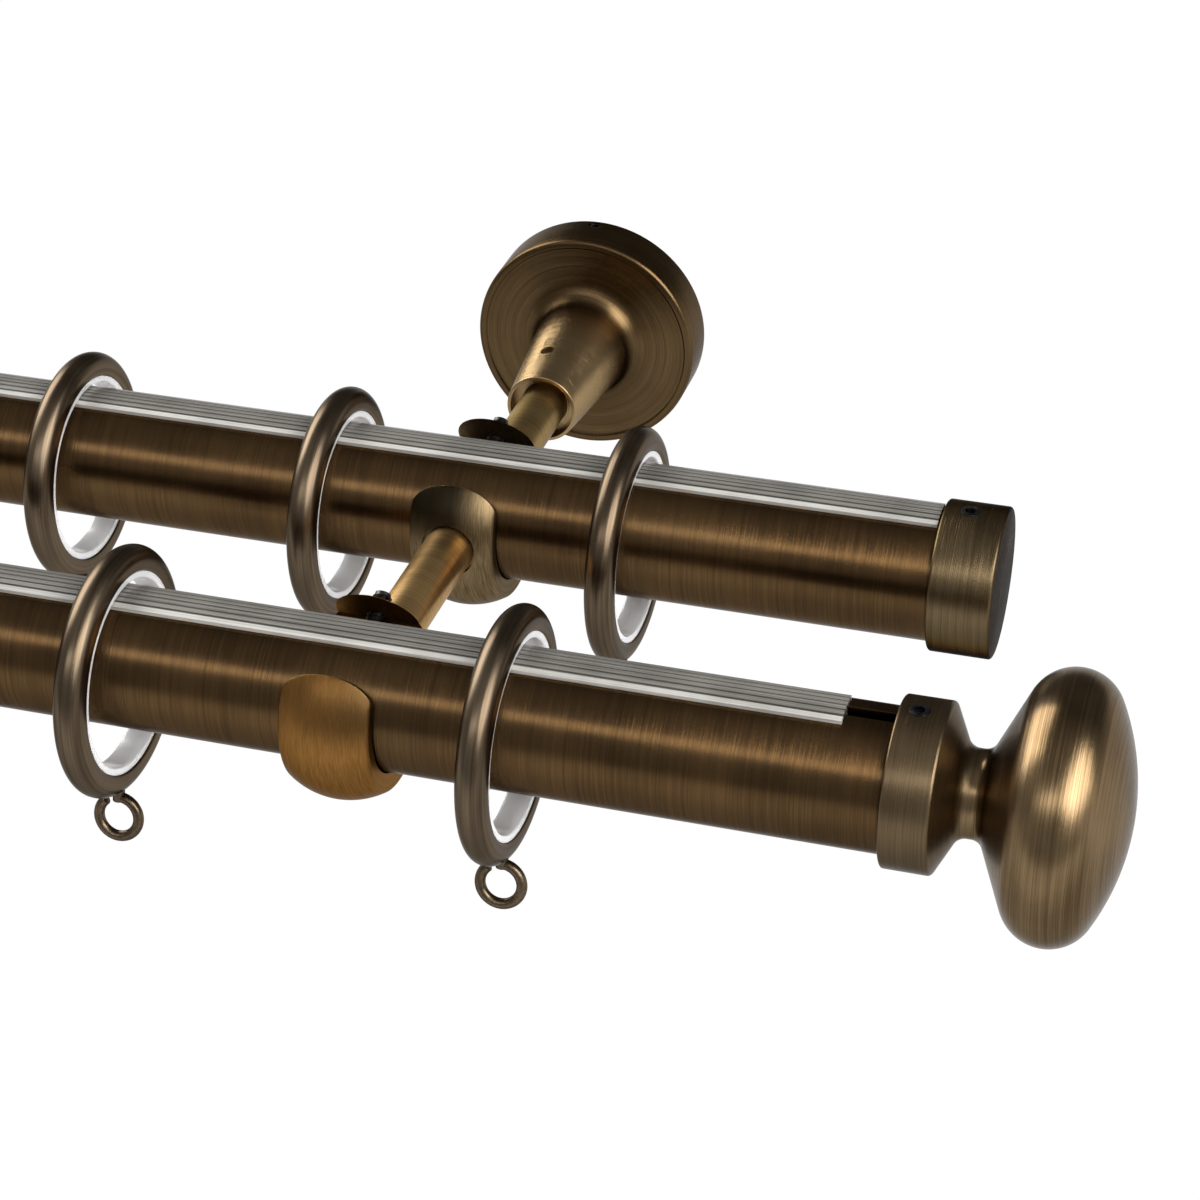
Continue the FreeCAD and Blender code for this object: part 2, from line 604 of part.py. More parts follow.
def build():
    """Every node of the object with its shape."""
    nodes = {}
    for side, x in (("right", RIGHT_BRACKET_X), ("left", LEFT_BRACKET_X)):
        nodes[side + "_wall_plate"] = wall_plate(x)
        nodes[side + "_rose"] = rose(x)
        nodes[side + "_rose_screws"] = rose_screws(x)
        socket_floor = -(CONE_MOUTH_FROM_WALL - SOCKET_DEPTH) - SOCKET_CLEARANCE
        spigot = stem_seat_reach() - cradle_inner_reach() - SPIGOT_CLEARANCE
        rear_back = REAR_POLE_Y + stem_seat_reach()
        rear_front = REAR_POLE_Y - stem_seat_reach()
        front_back = FRONT_POLE_Y + stem_seat_reach()
        nodes[side + "_rear_stem"] = stem(x, rear_back, socket_floor, spigot, 0)
        nodes[side + "_rear_cradle"] = cradle(x, REAR_POLE_Y, (-1, 1))
        nodes[side + "_front_stem"] = stem(x, front_back, rear_front, spigot, spigot)
        nodes[side + "_front_cradle"] = cradle(x, FRONT_POLE_Y, (1,))
        screws = [clamp_screw(x, REAR_POLE_Y), clamp_screw(x, FRONT_POLE_Y)]
        nodes[side + "_clamp_screws"] = Part.makeCompound(screws)
    nodes["front_pole"] = pole_tube(FRONT_POLE_Y)
    nodes["rear_pole"] = pole_tube(REAR_POLE_Y)
    setback = COLLAR_OVERLAP + STRIP_SETBACK_AT_FINIAL
    nodes["front_glide_strip"] = glide_strip(FRONT_POLE_Y, POLE_START_X + setback, POLE_END_X - setback)
    cap_cover = CAP_LENGTH - CAP_END_WALL - SLEEVE_CLEARANCE + STRIP_GAP_AT_CAP
    nodes["rear_glide_strip"] = glide_strip(REAR_POLE_Y, POLE_START_X + cap_cover, POLE_END_X - cap_cover)
    nodes["right_finial"] = finial()
    nodes["left_finial"] = mirrored(nodes["right_finial"])
    nodes["right_end_cap"] = end_cap()
    nodes["left_end_cap"] = mirrored(nodes["right_end_cap"])
    screws = [end_screw(finial_screw_x(), FRONT_POLE_Y, COLLAR_DIAMETER),
              end_screw(cap_screw_x(), REAR_POLE_Y, CAP_DIAMETER)]
    nodes["end_screws"] = Part.makeCompound(screws + [mirrored(s) for s in screws])
    for pole, y, places in (("rear", REAR_POLE_Y, REAR_RINGS_FROM_BRACKET),
                            ("front", FRONT_POLE_Y, FRONT_RINGS_FROM_BRACKET)):
        for number, offset in enumerate(places, 1):
            for side, x in (("right", RIGHT_BRACKET_X + offset), ("left", LEFT_BRACKET_X - offset)):
                name = "{}_{}_{}_".format(side, pole, number)
                nodes[name + "ring"] = ring_body(x, y)
                nodes[name + "liner"] = ring_liner(x, y)
                nodes[name + "eyelet"] = ring_eyelet(x, y)
    return nodes


os.makedirs("parts", exist_ok=True)
for node, shape in build().items():
    shape.exportStep("parts/" + node + ".step")
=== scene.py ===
import math

import bpy
from mathutils import Matrix, Vector


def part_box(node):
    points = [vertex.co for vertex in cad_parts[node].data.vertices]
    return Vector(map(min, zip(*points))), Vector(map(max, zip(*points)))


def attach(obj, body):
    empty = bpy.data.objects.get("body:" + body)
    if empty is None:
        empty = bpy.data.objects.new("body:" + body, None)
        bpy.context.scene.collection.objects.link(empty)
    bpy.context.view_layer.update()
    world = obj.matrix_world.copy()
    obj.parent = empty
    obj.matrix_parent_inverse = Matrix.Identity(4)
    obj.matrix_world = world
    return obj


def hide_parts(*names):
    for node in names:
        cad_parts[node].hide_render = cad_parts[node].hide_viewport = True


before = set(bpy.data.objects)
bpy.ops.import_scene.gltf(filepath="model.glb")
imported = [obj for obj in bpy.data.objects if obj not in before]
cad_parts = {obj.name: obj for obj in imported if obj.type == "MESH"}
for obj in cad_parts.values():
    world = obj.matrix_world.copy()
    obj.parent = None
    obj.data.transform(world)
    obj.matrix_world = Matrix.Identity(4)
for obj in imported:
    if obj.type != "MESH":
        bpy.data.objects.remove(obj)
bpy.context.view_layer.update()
bpy.ops.object.select_all(action="DESELECT")

# Poles
# Two steel tubes, slotted along the very top for the glide strip. They are plated in antique
# brass and brushed round the tube, so that fine golden scratches cross a dark brown patina.
MM = 0.001
NEAR = 0.001 * MM  # two places closer than this are one place
POLE_WALL = 1.2 * MM
POLE_EDGE = 0.12 * MM
SLOT_WIDTH = 3.0 * MM
TUBE_SIDES = 192
TUBE_DARK = (0.067, 0.036, 0.012, 1)
TUBE_LIGHT = (0.122, 0.067, 0.024, 1)


class Shade:
    """A node's output in a material: sums and products with other outputs add Math nodes."""

    def __init__(self, tree, socket=None):
        self.tree = tree
        self.socket = socket

    def node(self, kind, settings=None, values=None, outlet=0):
        """Any other node: its type, its settings, then the values or links of its sockets."""
        made = self.tree.nodes.new("ShaderNode" + kind)
        for name, setting in (settings or {}).items():
            setattr(made, name, setting)
        for name, value in (values or {}).items():
            if isinstance(value, Shade):
                self.tree.links.new(value.socket, made.inputs[name])
            else:
                made.inputs[name].default_value = value
        return Shade(self.tree, made.outputs[outlet] if len(made.outputs) else None)

    def other(self, outlet):
        """Another output of the same node."""
        return Shade(self.tree, self.socket.node.outputs[outlet])

    def maths(self, operation, *values):
        """A Math node on outputs or numbers."""
        return self.node("Math", {"operation": operation}, dict(enumerate(values)))

    def between(self, low, high, at_low=0.0, at_high=1.0):
        """Runs smoothly from one value to another as this output goes from low to high."""
        return self.node("MapRange", {"interpolation_type": "SMOOTHSTEP"}, {
            "Value": self, "From Min": low, "From Max": high, "To Min": at_low, "To Max": at_high})

    def tint(self, colour_at_0, colour_at_1):
        """A colour between two, by this output."""
        colours = {"Factor": self, "A": colour_at_0, "B": colour_at_1}
        return self.node("Mix", {"data_type": "RGBA"}, colours, outlet="Result")

    def __add__(self, other):
        return self.maths("ADD", self, other)

    __radd__ = __add__

    def __sub__(self, other):
        return self.maths("SUBTRACT", self, other)

    def __rsub__(self, other):
        return self.maths("SUBTRACT", other, self)

    def __mul__(self, other):
        return self.maths("MULTIPLY", self, other)

    __rmul__ = __mul__

    def __truediv__(self, other):
        return self.maths("DIVIDE", self, other)

    def __pow__(self, other):
        return self.maths("POWER", self, other)

    def __abs__(self):
        return self.maths("ABSOLUTE", self)


def new_finish(name):
    """An empty material and the start of its nodes."""
    finish = bpy.data.materials.new(name)
    finish.use_nodes = True
    finish.node_tree.nodes.clear()
    return finish, Shade(finish.node_tree)


def show(finish, surface):
    """Ends a material with its surface."""
    output = finish.node_tree.nodes.new("ShaderNodeOutputMaterial")
    finish.node_tree.links.new(surface.socket, output.inputs["Surface"])
    return finish


def brushed_brass(name, axis, centre, dark, light, roughness=0.26, scratch_depth=0.035 * MM,
                  scratch_width=0.17 * MM, coat=0.12, edge=(0.45, 0.45, 0.45, 1),
                  patch=None, patch_colour=None, patch_dulls=0.0):
    """Antique brass brushed round an axis: long hairlines that spread every light along it.
    The patch says, from the place, how much of a second colour covers the brass and dulls it. On the
    cone that colour is a painted sheen, and on the cradles a painted shade."""
    finish, s = new_finish(name)
    place = s.node("TexCoord", outlet="Object")
    x = s.node("SeparateXYZ", values={"Vector": place})
    y = x.other("Y")
    z = x.other("Z") - centre[2]
    if axis == "X":
        along, side = x, y - centre[1]
    else:
        along, side = y, x - centre[0]
    radius = (side * side + z * z) ** 0.5
    # Changes all the way round the piece and has no seam
    turn = z / radius * 3.1 + side / radius * 1.3

    def scratches(width, breaks, detail):
        """Lines round the axis, which break off the more often the larger breaks is."""
        rings = s.node("CombineXYZ", values={
            "X": along / width, "Y": radius / width, "Z": turn * breaks})
        return s.node("TexNoise", outlet="Fac", values={
            "Vector": rings, "Scale": 1.0, "Detail": detail, "Roughness": 0.6})

    hairlines = scratches(scratch_width, 0.2, 2.0)
    strokes = scratches(scratch_width * 7, 0.12, 3.0)
    patina = s.node("TexNoise", values={"Vector": place, "Scale": 60.0, "Detail": 3.0}, outlet="Fac")
    brass_share = (hairlines * 0.5 + strokes * 0.2 + patina * 0.3).between(0.36, 0.64)
    bump = s.node("Bump", values={
        "Height": hairlines + strokes * 0.3, "Distance": scratch_depth, "Strength": 1.0})
    brass = brass_share.tint(dark, light)
    dullness = patina.between(0.3, 0.7, roughness - 0.03, roughness + 0.04)
    if patch:
        covered = patch(x, y, z)
        brass = covered.tint(brass, patch_colour)
        dullness = dullness + covered * patch_dulls
    metal = s.node("BsdfPrincipled", values={
        "Base Color": brass,
        "Metallic": 1.0,
        "Roughness": dullness,
        "Specular Tint": edge,
        "Coat Weight": coat,
        "Coat Roughness": 0.3,
        "Normal": bump,
    })
    return show(finish, metal)


def open_up():
    """Opens the active piece for editing, with all of it selected."""
    bpy.ops.object.mode_set(mode="EDIT")
    bpy.ops.mesh.select_mode(type="VERT")
    bpy.ops.mesh.select_all(action="SELECT")


def choose(piece, kind, wanted):
    """Selects the corners, edges or faces whose middle passes the test, and nothing else."""
    bpy.ops.object.mode_set(mode="EDIT")
    bpy.ops.mesh.select_mode(type=kind)
    bpy.ops.mesh.select_all(action="DESELECT")
    # A selection made in object mode is there when edit mode starts again
    bpy.ops.object.mode_set(mode="OBJECT")
    mesh = piece.data
    if kind == "FACE":
        for face in mesh.polygons:
            face.select = wanted(face.center)
    elif kind == "EDGE":
        for edge in mesh.edges:
            a, b = (mesh.vertices[i].co for i in edge.vertices)
            edge.select = wanted((a + b) / 2)
    else:
        for vertex in mesh.vertices:
            vertex.select = wanted(vertex.co)
    bpy.ops.object.mode_set(mode="EDIT")


def make_active(piece):
    """Selects one piece, and nothing else, for the operators that follow."""
    bpy.ops.object.select_all(action="DESELECT")
    piece.select_set(True)
    bpy.context.view_layer.objects.active = piece


def modify(piece, kind, **settings):
    """Adds a modifier and applies it."""
    make_active(piece)
    bpy.ops.object.modifier_add(type=kind)
    modifier = piece.modifiers[-1]
    for name, setting in settings.items():
        setattr(modifier, name, setting)
    bpy.ops.object.modifier_apply(modifier=modifier.name)


def break_edges(piece, width, segments=2, degrees=50, **settings):
    """Bevels the edges that are sharper than an angle."""
    modify(piece, "BEVEL", width=width, segments=segments, limit_method="ANGLE",
           angle_limit=math.radians(degrees), **settings)


def smooth(piece, degrees=32):
    """Shades a piece smooth, apart from its edges sharper than an angle."""
    make_active(piece)
    bpy.ops.object.shade_smooth_by_angle(angle=math.radians(degrees))


def fit(piece, body, slot, finishes, *nodes):
    """Gives a piece its finishes and sets it on the body that carries it."""
    piece.data.materials.clear()
    for finish in finishes:
        piece.data.materials.append(finish)
    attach(piece, body)
    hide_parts(*nodes)
    bpy.ops.object.select_all(action="DESELECT")


pole_axes = {}
for row in ("rear", "front"):
    low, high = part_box(row + "_pole")
    axis_at = Vector(((low.x + high.x) / 2, (low.y + high.y) / 2, 0))
    pole_axes[row] = axis_at
    radius = (high.y - low.y) / 2
    bpy.ops.mesh.primitive_circle_add(vertices=TUBE_SIDES, radius=radius,
                                      location=(low.x, axis_at.y, 0), rotation=(0, math.pi / 2, 0))
    tube = bpy.context.object
    tube.name = row + "_tube"
    bpy.ops.object.transform_apply(location=True, rotation=True, scale=True)
    open_up()
    bpy.ops.mesh.extrude_region_move(TRANSFORM_OT_translate={"value": (high.x - low.x, 0, 0)})
    # Cut along both sides of the slot, then opened between the cuts
    for side in (-1, 1):
        bpy.ops.mesh.select_all(action="SELECT")
        bpy.ops.mesh.bisect(plane_co=(0, axis_at.y + side * SLOT_WIDTH / 2, 0), plane_no=(0, 1, 0))
    choose(tube, "FACE", lambda c: c.z > 0 and abs(c.y - axis_at.y) < SLOT_WIDTH / 2 - NEAR)
    bpy.ops.mesh.delete(type="FACE")
    bpy.ops.mesh.select_all(action="SELECT")
    bpy.ops.mesh.normals_make_consistent(inside=False)
    bpy.ops.object.mode_set(mode="OBJECT")
    modify(tube, "SOLIDIFY", thickness=POLE_WALL, offset=-1, use_even_offset=True)
    break_edges(tube, POLE_EDGE)
    smooth(tube)
    tube_brass = brushed_brass(row + " tube brass", "X", axis_at, TUBE_DARK, TUBE_LIGHT,
                               roughness=0.24, coat=0.18)
    fit(tube, "root", "pole_brass", [tube_brass], row + "_pole")

# Glide strips
# A clear grey plastic profile clipped over each slot, with fine ribs that the rings run on and
# a smooth lip along the front. Its web goes down through the slot and holds it there.
STRIP_TOP = 14.99 * MM  # from the pole's axis
STRIP_THICKNESS = 0.95 * MM
STRIP_HALF_ANGLE = math.radians(17.5)
STRIP_STEPS = 84
RIBS = 5
RIBBED_SHARE = 0.83
GROOVE_DEPTH = 0.3 * MM
GROOVE_REACH = 0.9  # half of a groove's floor, in steps
SHADE_REACH = 2.3  # half of the painted shade over a groove, in steps
WEB_HALF_WIDTH = 1.3 * MM
WEB_DEPTH = 2.0 * MM


def strip_plastic(name, tone, roughness):
    """Clear plastic over dark metal: grey, glossy, with faint draw lines along it."""
    finish, s = new_finish(name)
    place = s.node("TexCoord", outlet="Object")
    lines = s.node("Mapping", values={"Vector": place, "Scale": (14, 5200, 5200)})
    drawn = s.node("TexNoise", values={"Vector": lines, "Scale": 1.0, "Detail": 2.0}, outlet="Fac")
    cloud = s.node("TexNoise", values={"Vector": place, "Scale": 90.0, "Detail": 2.0}, outlet="Fac")
    deep = tuple(c * 0.6 for c in tone[:3]) + (1,)
    bump = s.node("Bump", values={"Height": drawn, "Distance": 0.01 * MM, "Strength": 1.0})
    plastic = s.node("BsdfPrincipled", values={
        "Base Color": (drawn * 0.6 + cloud * 0.4).between(0.35, 0.62).tint(deep, tone),
        "Roughness": drawn.between(0.2, 0.8, roughness - 0.05, roughness + 0.1),
        "IOR": 1.49,
        "Coat Weight": 0.5,
        "Coat Roughness": 0.12,
        "Normal": bump,
    })
    return show(finish, plastic)


rib_plastic = strip_plastic("ribbed strip", (0.225, 0.214, 0.190, 1), 0.26)
# The grooves and the ribs beside them get a darker tone of the same plastic: painted shade
groove_shade_plastic = strip_plastic("strip groove shade", (0.10, 0.095, 0.084, 1), 0.4)
lip_plastic = strip_plastic("strip lip", (0.58, 0.56, 0.52, 1), 0.34)
for row in ("rear", "front"):
    low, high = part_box(row + "_glide_strip")
    axis_at = pole_axes[row]
    start_turn = -STRIP_HALF_ANGLE
    rear_edge = Vector(((low.x + high.x) / 2, axis_at.y - math.sin(start_turn) * STRIP_TOP,
                        math.cos(start_turn) * STRIP_TOP))
    # Only the far edge of the plane is kept, and spun over the pole
    length = high.x - low.x
    bpy.ops.mesh.primitive_plane_add(size=length, location=rear_edge - Vector((0, length / 2, 0)))
    strip = bpy.context.object
    strip.name = row + "_ribbed_strip"
    bpy.ops.object.transform_apply(location=True, rotation=True, scale=True)
    choose(strip, "VERT", lambda c: c.y < rear_edge.y - NEAR)
    bpy.ops.mesh.delete(type="VERT")
    bpy.ops.mesh.select_all(action="SELECT")
    bpy.ops.mesh.spin(steps=STRIP_STEPS, angle=2 * start_turn, center=(0, axis_at.y, 0), axis=(1, 0, 0))
    rib_turn = 2 * STRIP_HALF_ANGLE * RIBBED_SHARE / RIBS
    step_turn = 2 * STRIP_HALF_ANGLE / STRIP_STEPS

    def turn_of(c):
        """The angle from the strip's rear edge."""
        return math.atan2(axis_at.y - c.y, c.z) - start_turn

    def in_groove(c, reach):
        """Tells if a place is within some steps of the middle of a groove."""
        turn = turn_of(c)
        nearest = round(turn / rib_turn)
        return 1 <= nearest <= RIBS and abs(turn - nearest * rib_turn) < reach * step_turn

    choose(strip, "VERT", lambda c: in_groove(c, GROOVE_REACH))
    shrink = (STRIP_TOP - GROOVE_DEPTH) / STRIP_TOP
    bpy.ops.transform.resize(value=(1, shrink, shrink), center_override=(0, axis_at.y, 0))
    bpy.ops.mesh.select_all(action="SELECT")
    bpy.ops.mesh.normals_make_consistent(inside=False)
    bpy.ops.object.mode_set(mode="OBJECT")
    # The crown has to face up before it gets its thickness
    if strip.data.polygons[0].normal.z < 0:
        strip.data.flip_normals()
    modify(strip, "SOLIDIFY", thickness=STRIP_THICKNESS, offset=-1)

    def over_web(c):
        """Tells if a place is on the strip's underside, over the slot."""
        return (abs(c.y - axis_at.y) < WEB_HALF_WIDTH and low.x < c.x < high.x
                and math.hypot(c.y - axis_at.y, c.z) < STRIP_TOP - STRIP_THICKNESS * 0.8)

    choose(strip, "FACE", over_web)
    bpy.ops.mesh.extrude_region_move(TRANSFORM_OT_translate={"value": (0, 0, -WEB_DEPTH)})
    bpy.ops.object.mode_set(mode="OBJECT")
    smooth(strip, 25)
    fit(strip, "root", "strip_plastic", [rib_plastic, groove_shade_plastic, lip_plastic],
        row + "_glide_strip")
    for face in strip.data.polygons:
        on_top = math.hypot(face.center.y - axis_at.y, face.center.z) > STRIP_TOP - STRIP_THICKNESS * 0.7
        # Faces in and beside a groove take the darker plastic, which paints their shade
        if on_top and in_groove(face.center, SHADE_REACH):
            face.material_index = 1
        elif on_top and turn_of(face.center) > (RIBS + 0.2) * rib_turn:
            face.material_index = 2

# Wall roses
# A brass cover turned from one bar: a thin beaded rim, a dished face brushed in rings and a
# trumpet cone that holds the stem. It hides the wall plate, and its screws lock plate and stem.
ROSE_RADIUS = 26.3 * MM
ROSE_DEPTH = 11.9 * MM
ROSE_HOLLOW = 23.9 * MM
ROSE_FLOOR = 8.5 * MM
ROSE_EDGE = 0.3 * MM
RIM_ROUNDING = 0.9 * MM
BEAD_WIDTH = 1.7 * MM
BEAD_STEP = 0.35 * MM
BEAD_EDGE = 0.12 * MM
CONE_ROOT = 11.7 * MM
CONE_COVE = 4.2 * MM
CONE_MOUTH = 8.1 * MM
CONE_REACH = 46.3 * MM
CONE_BORE = 7.3 * MM
CONE_EDGE = 0.25 * MM
BORE_EDGE = 0.1 * MM
MOUTH_DEPTH = 3.0 * MM
SOCKET_RADIUS = 5.3 * MM
SOCKET_REACH = 20.3 * MM
ROSE_SCREW_RADIUS = 1.5 * MM
HOLE_CLEARANCE = 0.05 * MM
RIM_SCREW_PLACE = 2.1 * MM  # from the wall, like the next
CONE_SCREW_PLACE = 34.7 * MM
CONE_SCREW_TURN = math.radians(13)
RIM_DRILLING = 5 * MM
CONE_DRILLING = 12 * MM
ROSE_DARK = (0.077, 0.047, 0.020, 1)
ROSE_LIGHT = (0.145, 0.092, 0.041, 1)
# A paler brass painted over the cone towards its mouth: painted sheen
CONE_SHEEN_COLOUR = (0.44, 0.305, 0.155, 1)
CONE_SHEEN_BETWEEN = (-30 * MM, -14 * MM)  # fully, and not at all
CONE_SHEEN_SHARE = 0.85


def turned(name, axis, centre, rings, sides=160, ends=(None, None)):
    """A turned piece: a circle is extruded and resized from ring to ring. A ring is its place
    along the axis, its radius and, for a rounded corner, the rounding's width. The first and
    the last ring stay open or are closed: flat, or the last one to a point."""
    if axis == "X":
        along, across, tilt = Vector((1, 0, 0)), Vector((0, 1, 0)), (0, math.pi / 2, 0)
    else:
        along, across, tilt = Vector((0, 1, 0)), Vector((1, 0, 0)), (math.pi / 2, 0, 0)

    def middle(place):
        """The point of the axis at a place along it."""
        return Vector((place, centre[1], centre[2]) if axis == "X" else (centre[0], place, centre[2]))

    bpy.ops.mesh.primitive_circle_add(vertices=sides, radius=rings[0][1],
                                      location=middle(rings[0][0]), rotation=tilt)
    piece = bpy.context.object
    piece.name = name
    bpy.ops.object.transform_apply(location=True, rotation=True, scale=True)
    open_up()
    if ends[0] == "flat":
        bpy.ops.mesh.edge_face_add()
        bpy.ops.mesh.select_mode(type="EDGE")
        bpy.ops.mesh.region_to_loop()
    for last, ring in zip(rings, rings[1:]):
        bpy.ops.mesh.extrude_region_move(TRANSFORM_OT_translate={"value": along * (ring[0] - last[0])})
        share = ring[1] / last[1]
        bpy.ops.transform.resize(value=(share, share, share), center_override=middle(ring[0]))
    if ends[1] == "flat":
        bpy.ops.mesh.edge_face_add()
    if ends[1] == "point":
        bpy.ops.mesh.merge(type="CENTER")
    bpy.ops.mesh.select_all(action="SELECT")
    bpy.ops.mesh.remove_doubles(threshold=NEAR)
    bpy.ops.mesh.normals_make_consistent(inside=False)
    for ring in rings:
        if len(ring) > 2:

            def on_ring(c):
                """Tells if the middle of an edge lies on the ring."""
                offset = c - middle(ring[0])
                away = math.hypot(offset.dot(across), offset.z)
                # The middle of an edge of the polygon lies a little inside the circle
                return (abs(offset.dot(along)) < NEAR
                        and abs(away - ring[1] * math.cos(math.pi / sides)) < 5 * NEAR)

            choose(piece, "EDGE", on_ring)
            bpy.ops.mesh.bevel(offset=ring[2], segments=5, affect="EDGES")
    bpy.ops.object.mode_set(mode="OBJECT")
    smooth(piece)
    return piece


def cut_with(piece, tool):
    """Takes the tool's volume out of the piece, then removes the tool."""
    modify(piece, "BOOLEAN", operation="DIFFERENCE", object=tool, solver="EXACT")
    bpy.data.objects.remove(tool)


def drill(radius, start, direction, length, sides=40):
    """The space that a drill takes: from a start point along a direction."""
    direction = Vector(direction).normalized()
    bpy.ops.mesh.primitive_cylinder_add(vertices=sides, radius=radius, depth=length,
                                        location=Vector(start) + direction * (length / 2),
                                        rotation=direction.to_track_quat("Z", "Y").to_euler())
    bpy.ops.object.transform_apply(location=True, rotation=True, scale=True)
    return bpy.context.object


bracket_x = {}
for side in ("right", "left"):
    low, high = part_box(side + "_rose")
    bracket_x[side] = (low.x + high.x) / 2
cone_direction = Vector((-math.sin(CONE_SCREW_TURN), 0, math.cos(CONE_SCREW_TURN)))


def painted_cone_sheen(x, y, z):
    """The cone is painted paler towards its mouth: a painted sheen."""
    return y.between(*CONE_SHEEN_BETWEEN, CONE_SHEEN_SHARE, 0.0)


for side in ("right", "left"):
    x = bracket_x[side]
    rose = turned(side + "_wall_rose", "Y", (x, 0, 0), [
        (0, ROSE_HOLLOW),
        (0, ROSE_RADIUS, ROSE_EDGE),
        (-ROSE_DEPTH, ROSE_RADIUS, RIM_ROUNDING),
        (-ROSE_DEPTH, ROSE_RADIUS - BEAD_WIDTH, BEAD_EDGE),
        (-ROSE_DEPTH + BEAD_STEP, ROSE_RADIUS - BEAD_WIDTH - BEAD_STEP, BEAD_EDGE),
        (-ROSE_DEPTH + 2 * BEAD_STEP, CONE_ROOT, CONE_COVE),
        (-CONE_REACH, CONE_MOUTH, CONE_EDGE),
        (-CONE_REACH, CONE_BORE, BORE_EDGE),
        (-CONE_REACH + MOUTH_DEPTH, CONE_BORE),
        (-CONE_REACH + MOUTH_DEPTH, SOCKET_RADIUS),
        (-SOCKET_REACH, SOCKET_RADIUS)], ends=(None, "flat"))
    # The hollow for the wall plate: its edge is pushed in from the back and closed
    choose(rose, "EDGE", lambda c: abs(c.y) < NEAR and math.hypot(c.x - x, c.z) < ROSE_HOLLOW + NEAR)
    bpy.ops.mesh.extrude_region_move(TRANSFORM_OT_translate={"value": (0, -ROSE_FLOOR, 0)})
    bpy.ops.mesh.edge_face_add()
    bpy.ops.mesh.select_all(action="SELECT")
    bpy.ops.mesh.normals_make_consistent(inside=False)
    bpy.ops.object.mode_set(mode="OBJECT")
    hole = ROSE_SCREW_RADIUS + HOLE_CLEARANCE
    rim_hole = drill(hole, (x, -RIM_SCREW_PLACE, ROSE_HOLLOW - MM), (0, 0, 1), RIM_DRILLING)
    cut_with(rose, rim_hole)
    cut_with(rose, drill(hole, (x, -CONE_SCREW_PLACE, 0), cone_direction, CONE_DRILLING))
    smooth(rose)
    rose_brass = brushed_brass(side + " rose brass", "Y", (x, 0, 0), ROSE_DARK, ROSE_LIGHT,
                               roughness=0.27, scratch_depth=0.06 * MM, coat=0.06,
                               patch=painted_cone_sheen, patch_colour=CONE_SHEEN_COLOUR)
    fit(rose, "root", "turned_brass", [rose_brass], side + "_rose")

# Stems
# Turned brass rods: one from the rose to the rear cradle and one from there to the front
# cradle. They are brighter than the rest, with rings left by the turning tool.
STEM_RADIUS = 5.25 * MM
STEM_EDGE = 0.5 * MM
SPIGOT_LENGTH = 2.75 * MM
# The rear stem has darker tones than the front one: painted shade, as it lies in shadow near the rose
STEM_TONES_AND_SHADE = {"rear": ((0.25, 0.165, 0.065, 1), (0.40, 0.27, 0.11, 1)),
              "front": ((0.56, 0.345, 0.14, 1), (0.84, 0.55, 0.235, 1))}
for side in ("right", "left"):
    x = bracket_x[side]
    for row in ("rear", "front"):
        dark, light = STEM_TONES_AND_SHADE[row]
        stem_brass = brushed_brass("{} {} stem brass".format(side, row), "Y", (x, 0, 0), dark, light,
                                   roughness=0.34, scratch_depth=0.025 * MM, scratch_width=0.2 * MM)
        node = "{}_{}_stem".format(side, row)
        low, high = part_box(node)
        back = high.y - (SPIGOT_LENGTH if row == "front" else 0)
        stem = turned("{}_{}_rod".format(side, row), "Y", (x, 0, 0), [
            (low.y + SPIGOT_LENGTH, STEM_RADIUS, STEM_EDGE),
            (back, STEM_RADIUS, STEM_EDGE)], sides=96, ends=("flat", "flat"))
        fit(stem, "root", "bright_brass", [stem_brass], node)

# Cradles
# Cast brass bands that the poles lie in, thin at their two rounded tongues and thick below,
# where the stems screw in. They are brushed along the band, and their rims are rubbed bright.
CUP_RIM = 0.55 * MM
TONGUE_SHADE_RISE = (-3 * MM, 8 * MM)  # painted shade grows between these heights, up the front tongue
TONGUE_SHADE_ACROSS = 8 * MM
# The rear cradles have darker, greyer tones than the front ones, which paint their shade, and a nearly
# black painted shade on their tongues. The painted shade covers one share of a tongue's middle and
# another share of its right edge.
CUP_TONES_AND_SHADE = {
    "rear": {"dark": (0.122, 0.082, 0.040, 1), "light": (0.29, 0.207, 0.108, 1),
             "tongue_shade": (0.012, 0.009, 0.005, 1), "middle": 0.95, "right": 0.2},
    "front": {"dark": (0.22, 0.103, 0.026, 1), "light": (0.35, 0.171, 0.046, 1),
              "tongue_shade": (0.08, 0.044, 0.016, 1), "middle": 0.45, "right": 0.95}}
finish, s = new_finish("rubbed brass")
place = s.node("TexCoord", outlet="Object")
rubbing = s.node("TexNoise", values={"Vector": place, "Scale": 400.0, "Detail": 3.0}, outlet="Fac")
rubbed = s.node("BsdfPrincipled", values={
    "Base Color": rubbing.between(0.35, 0.65).tint((0.55, 0.39, 0.20, 1), (0.82, 0.67, 0.44, 1)),
    "Metallic": 1.0,
    "Roughness": rubbing.between(0.3, 0.7, 0.24, 0.34),
})
rubbed_brass = show(finish, rubbed)
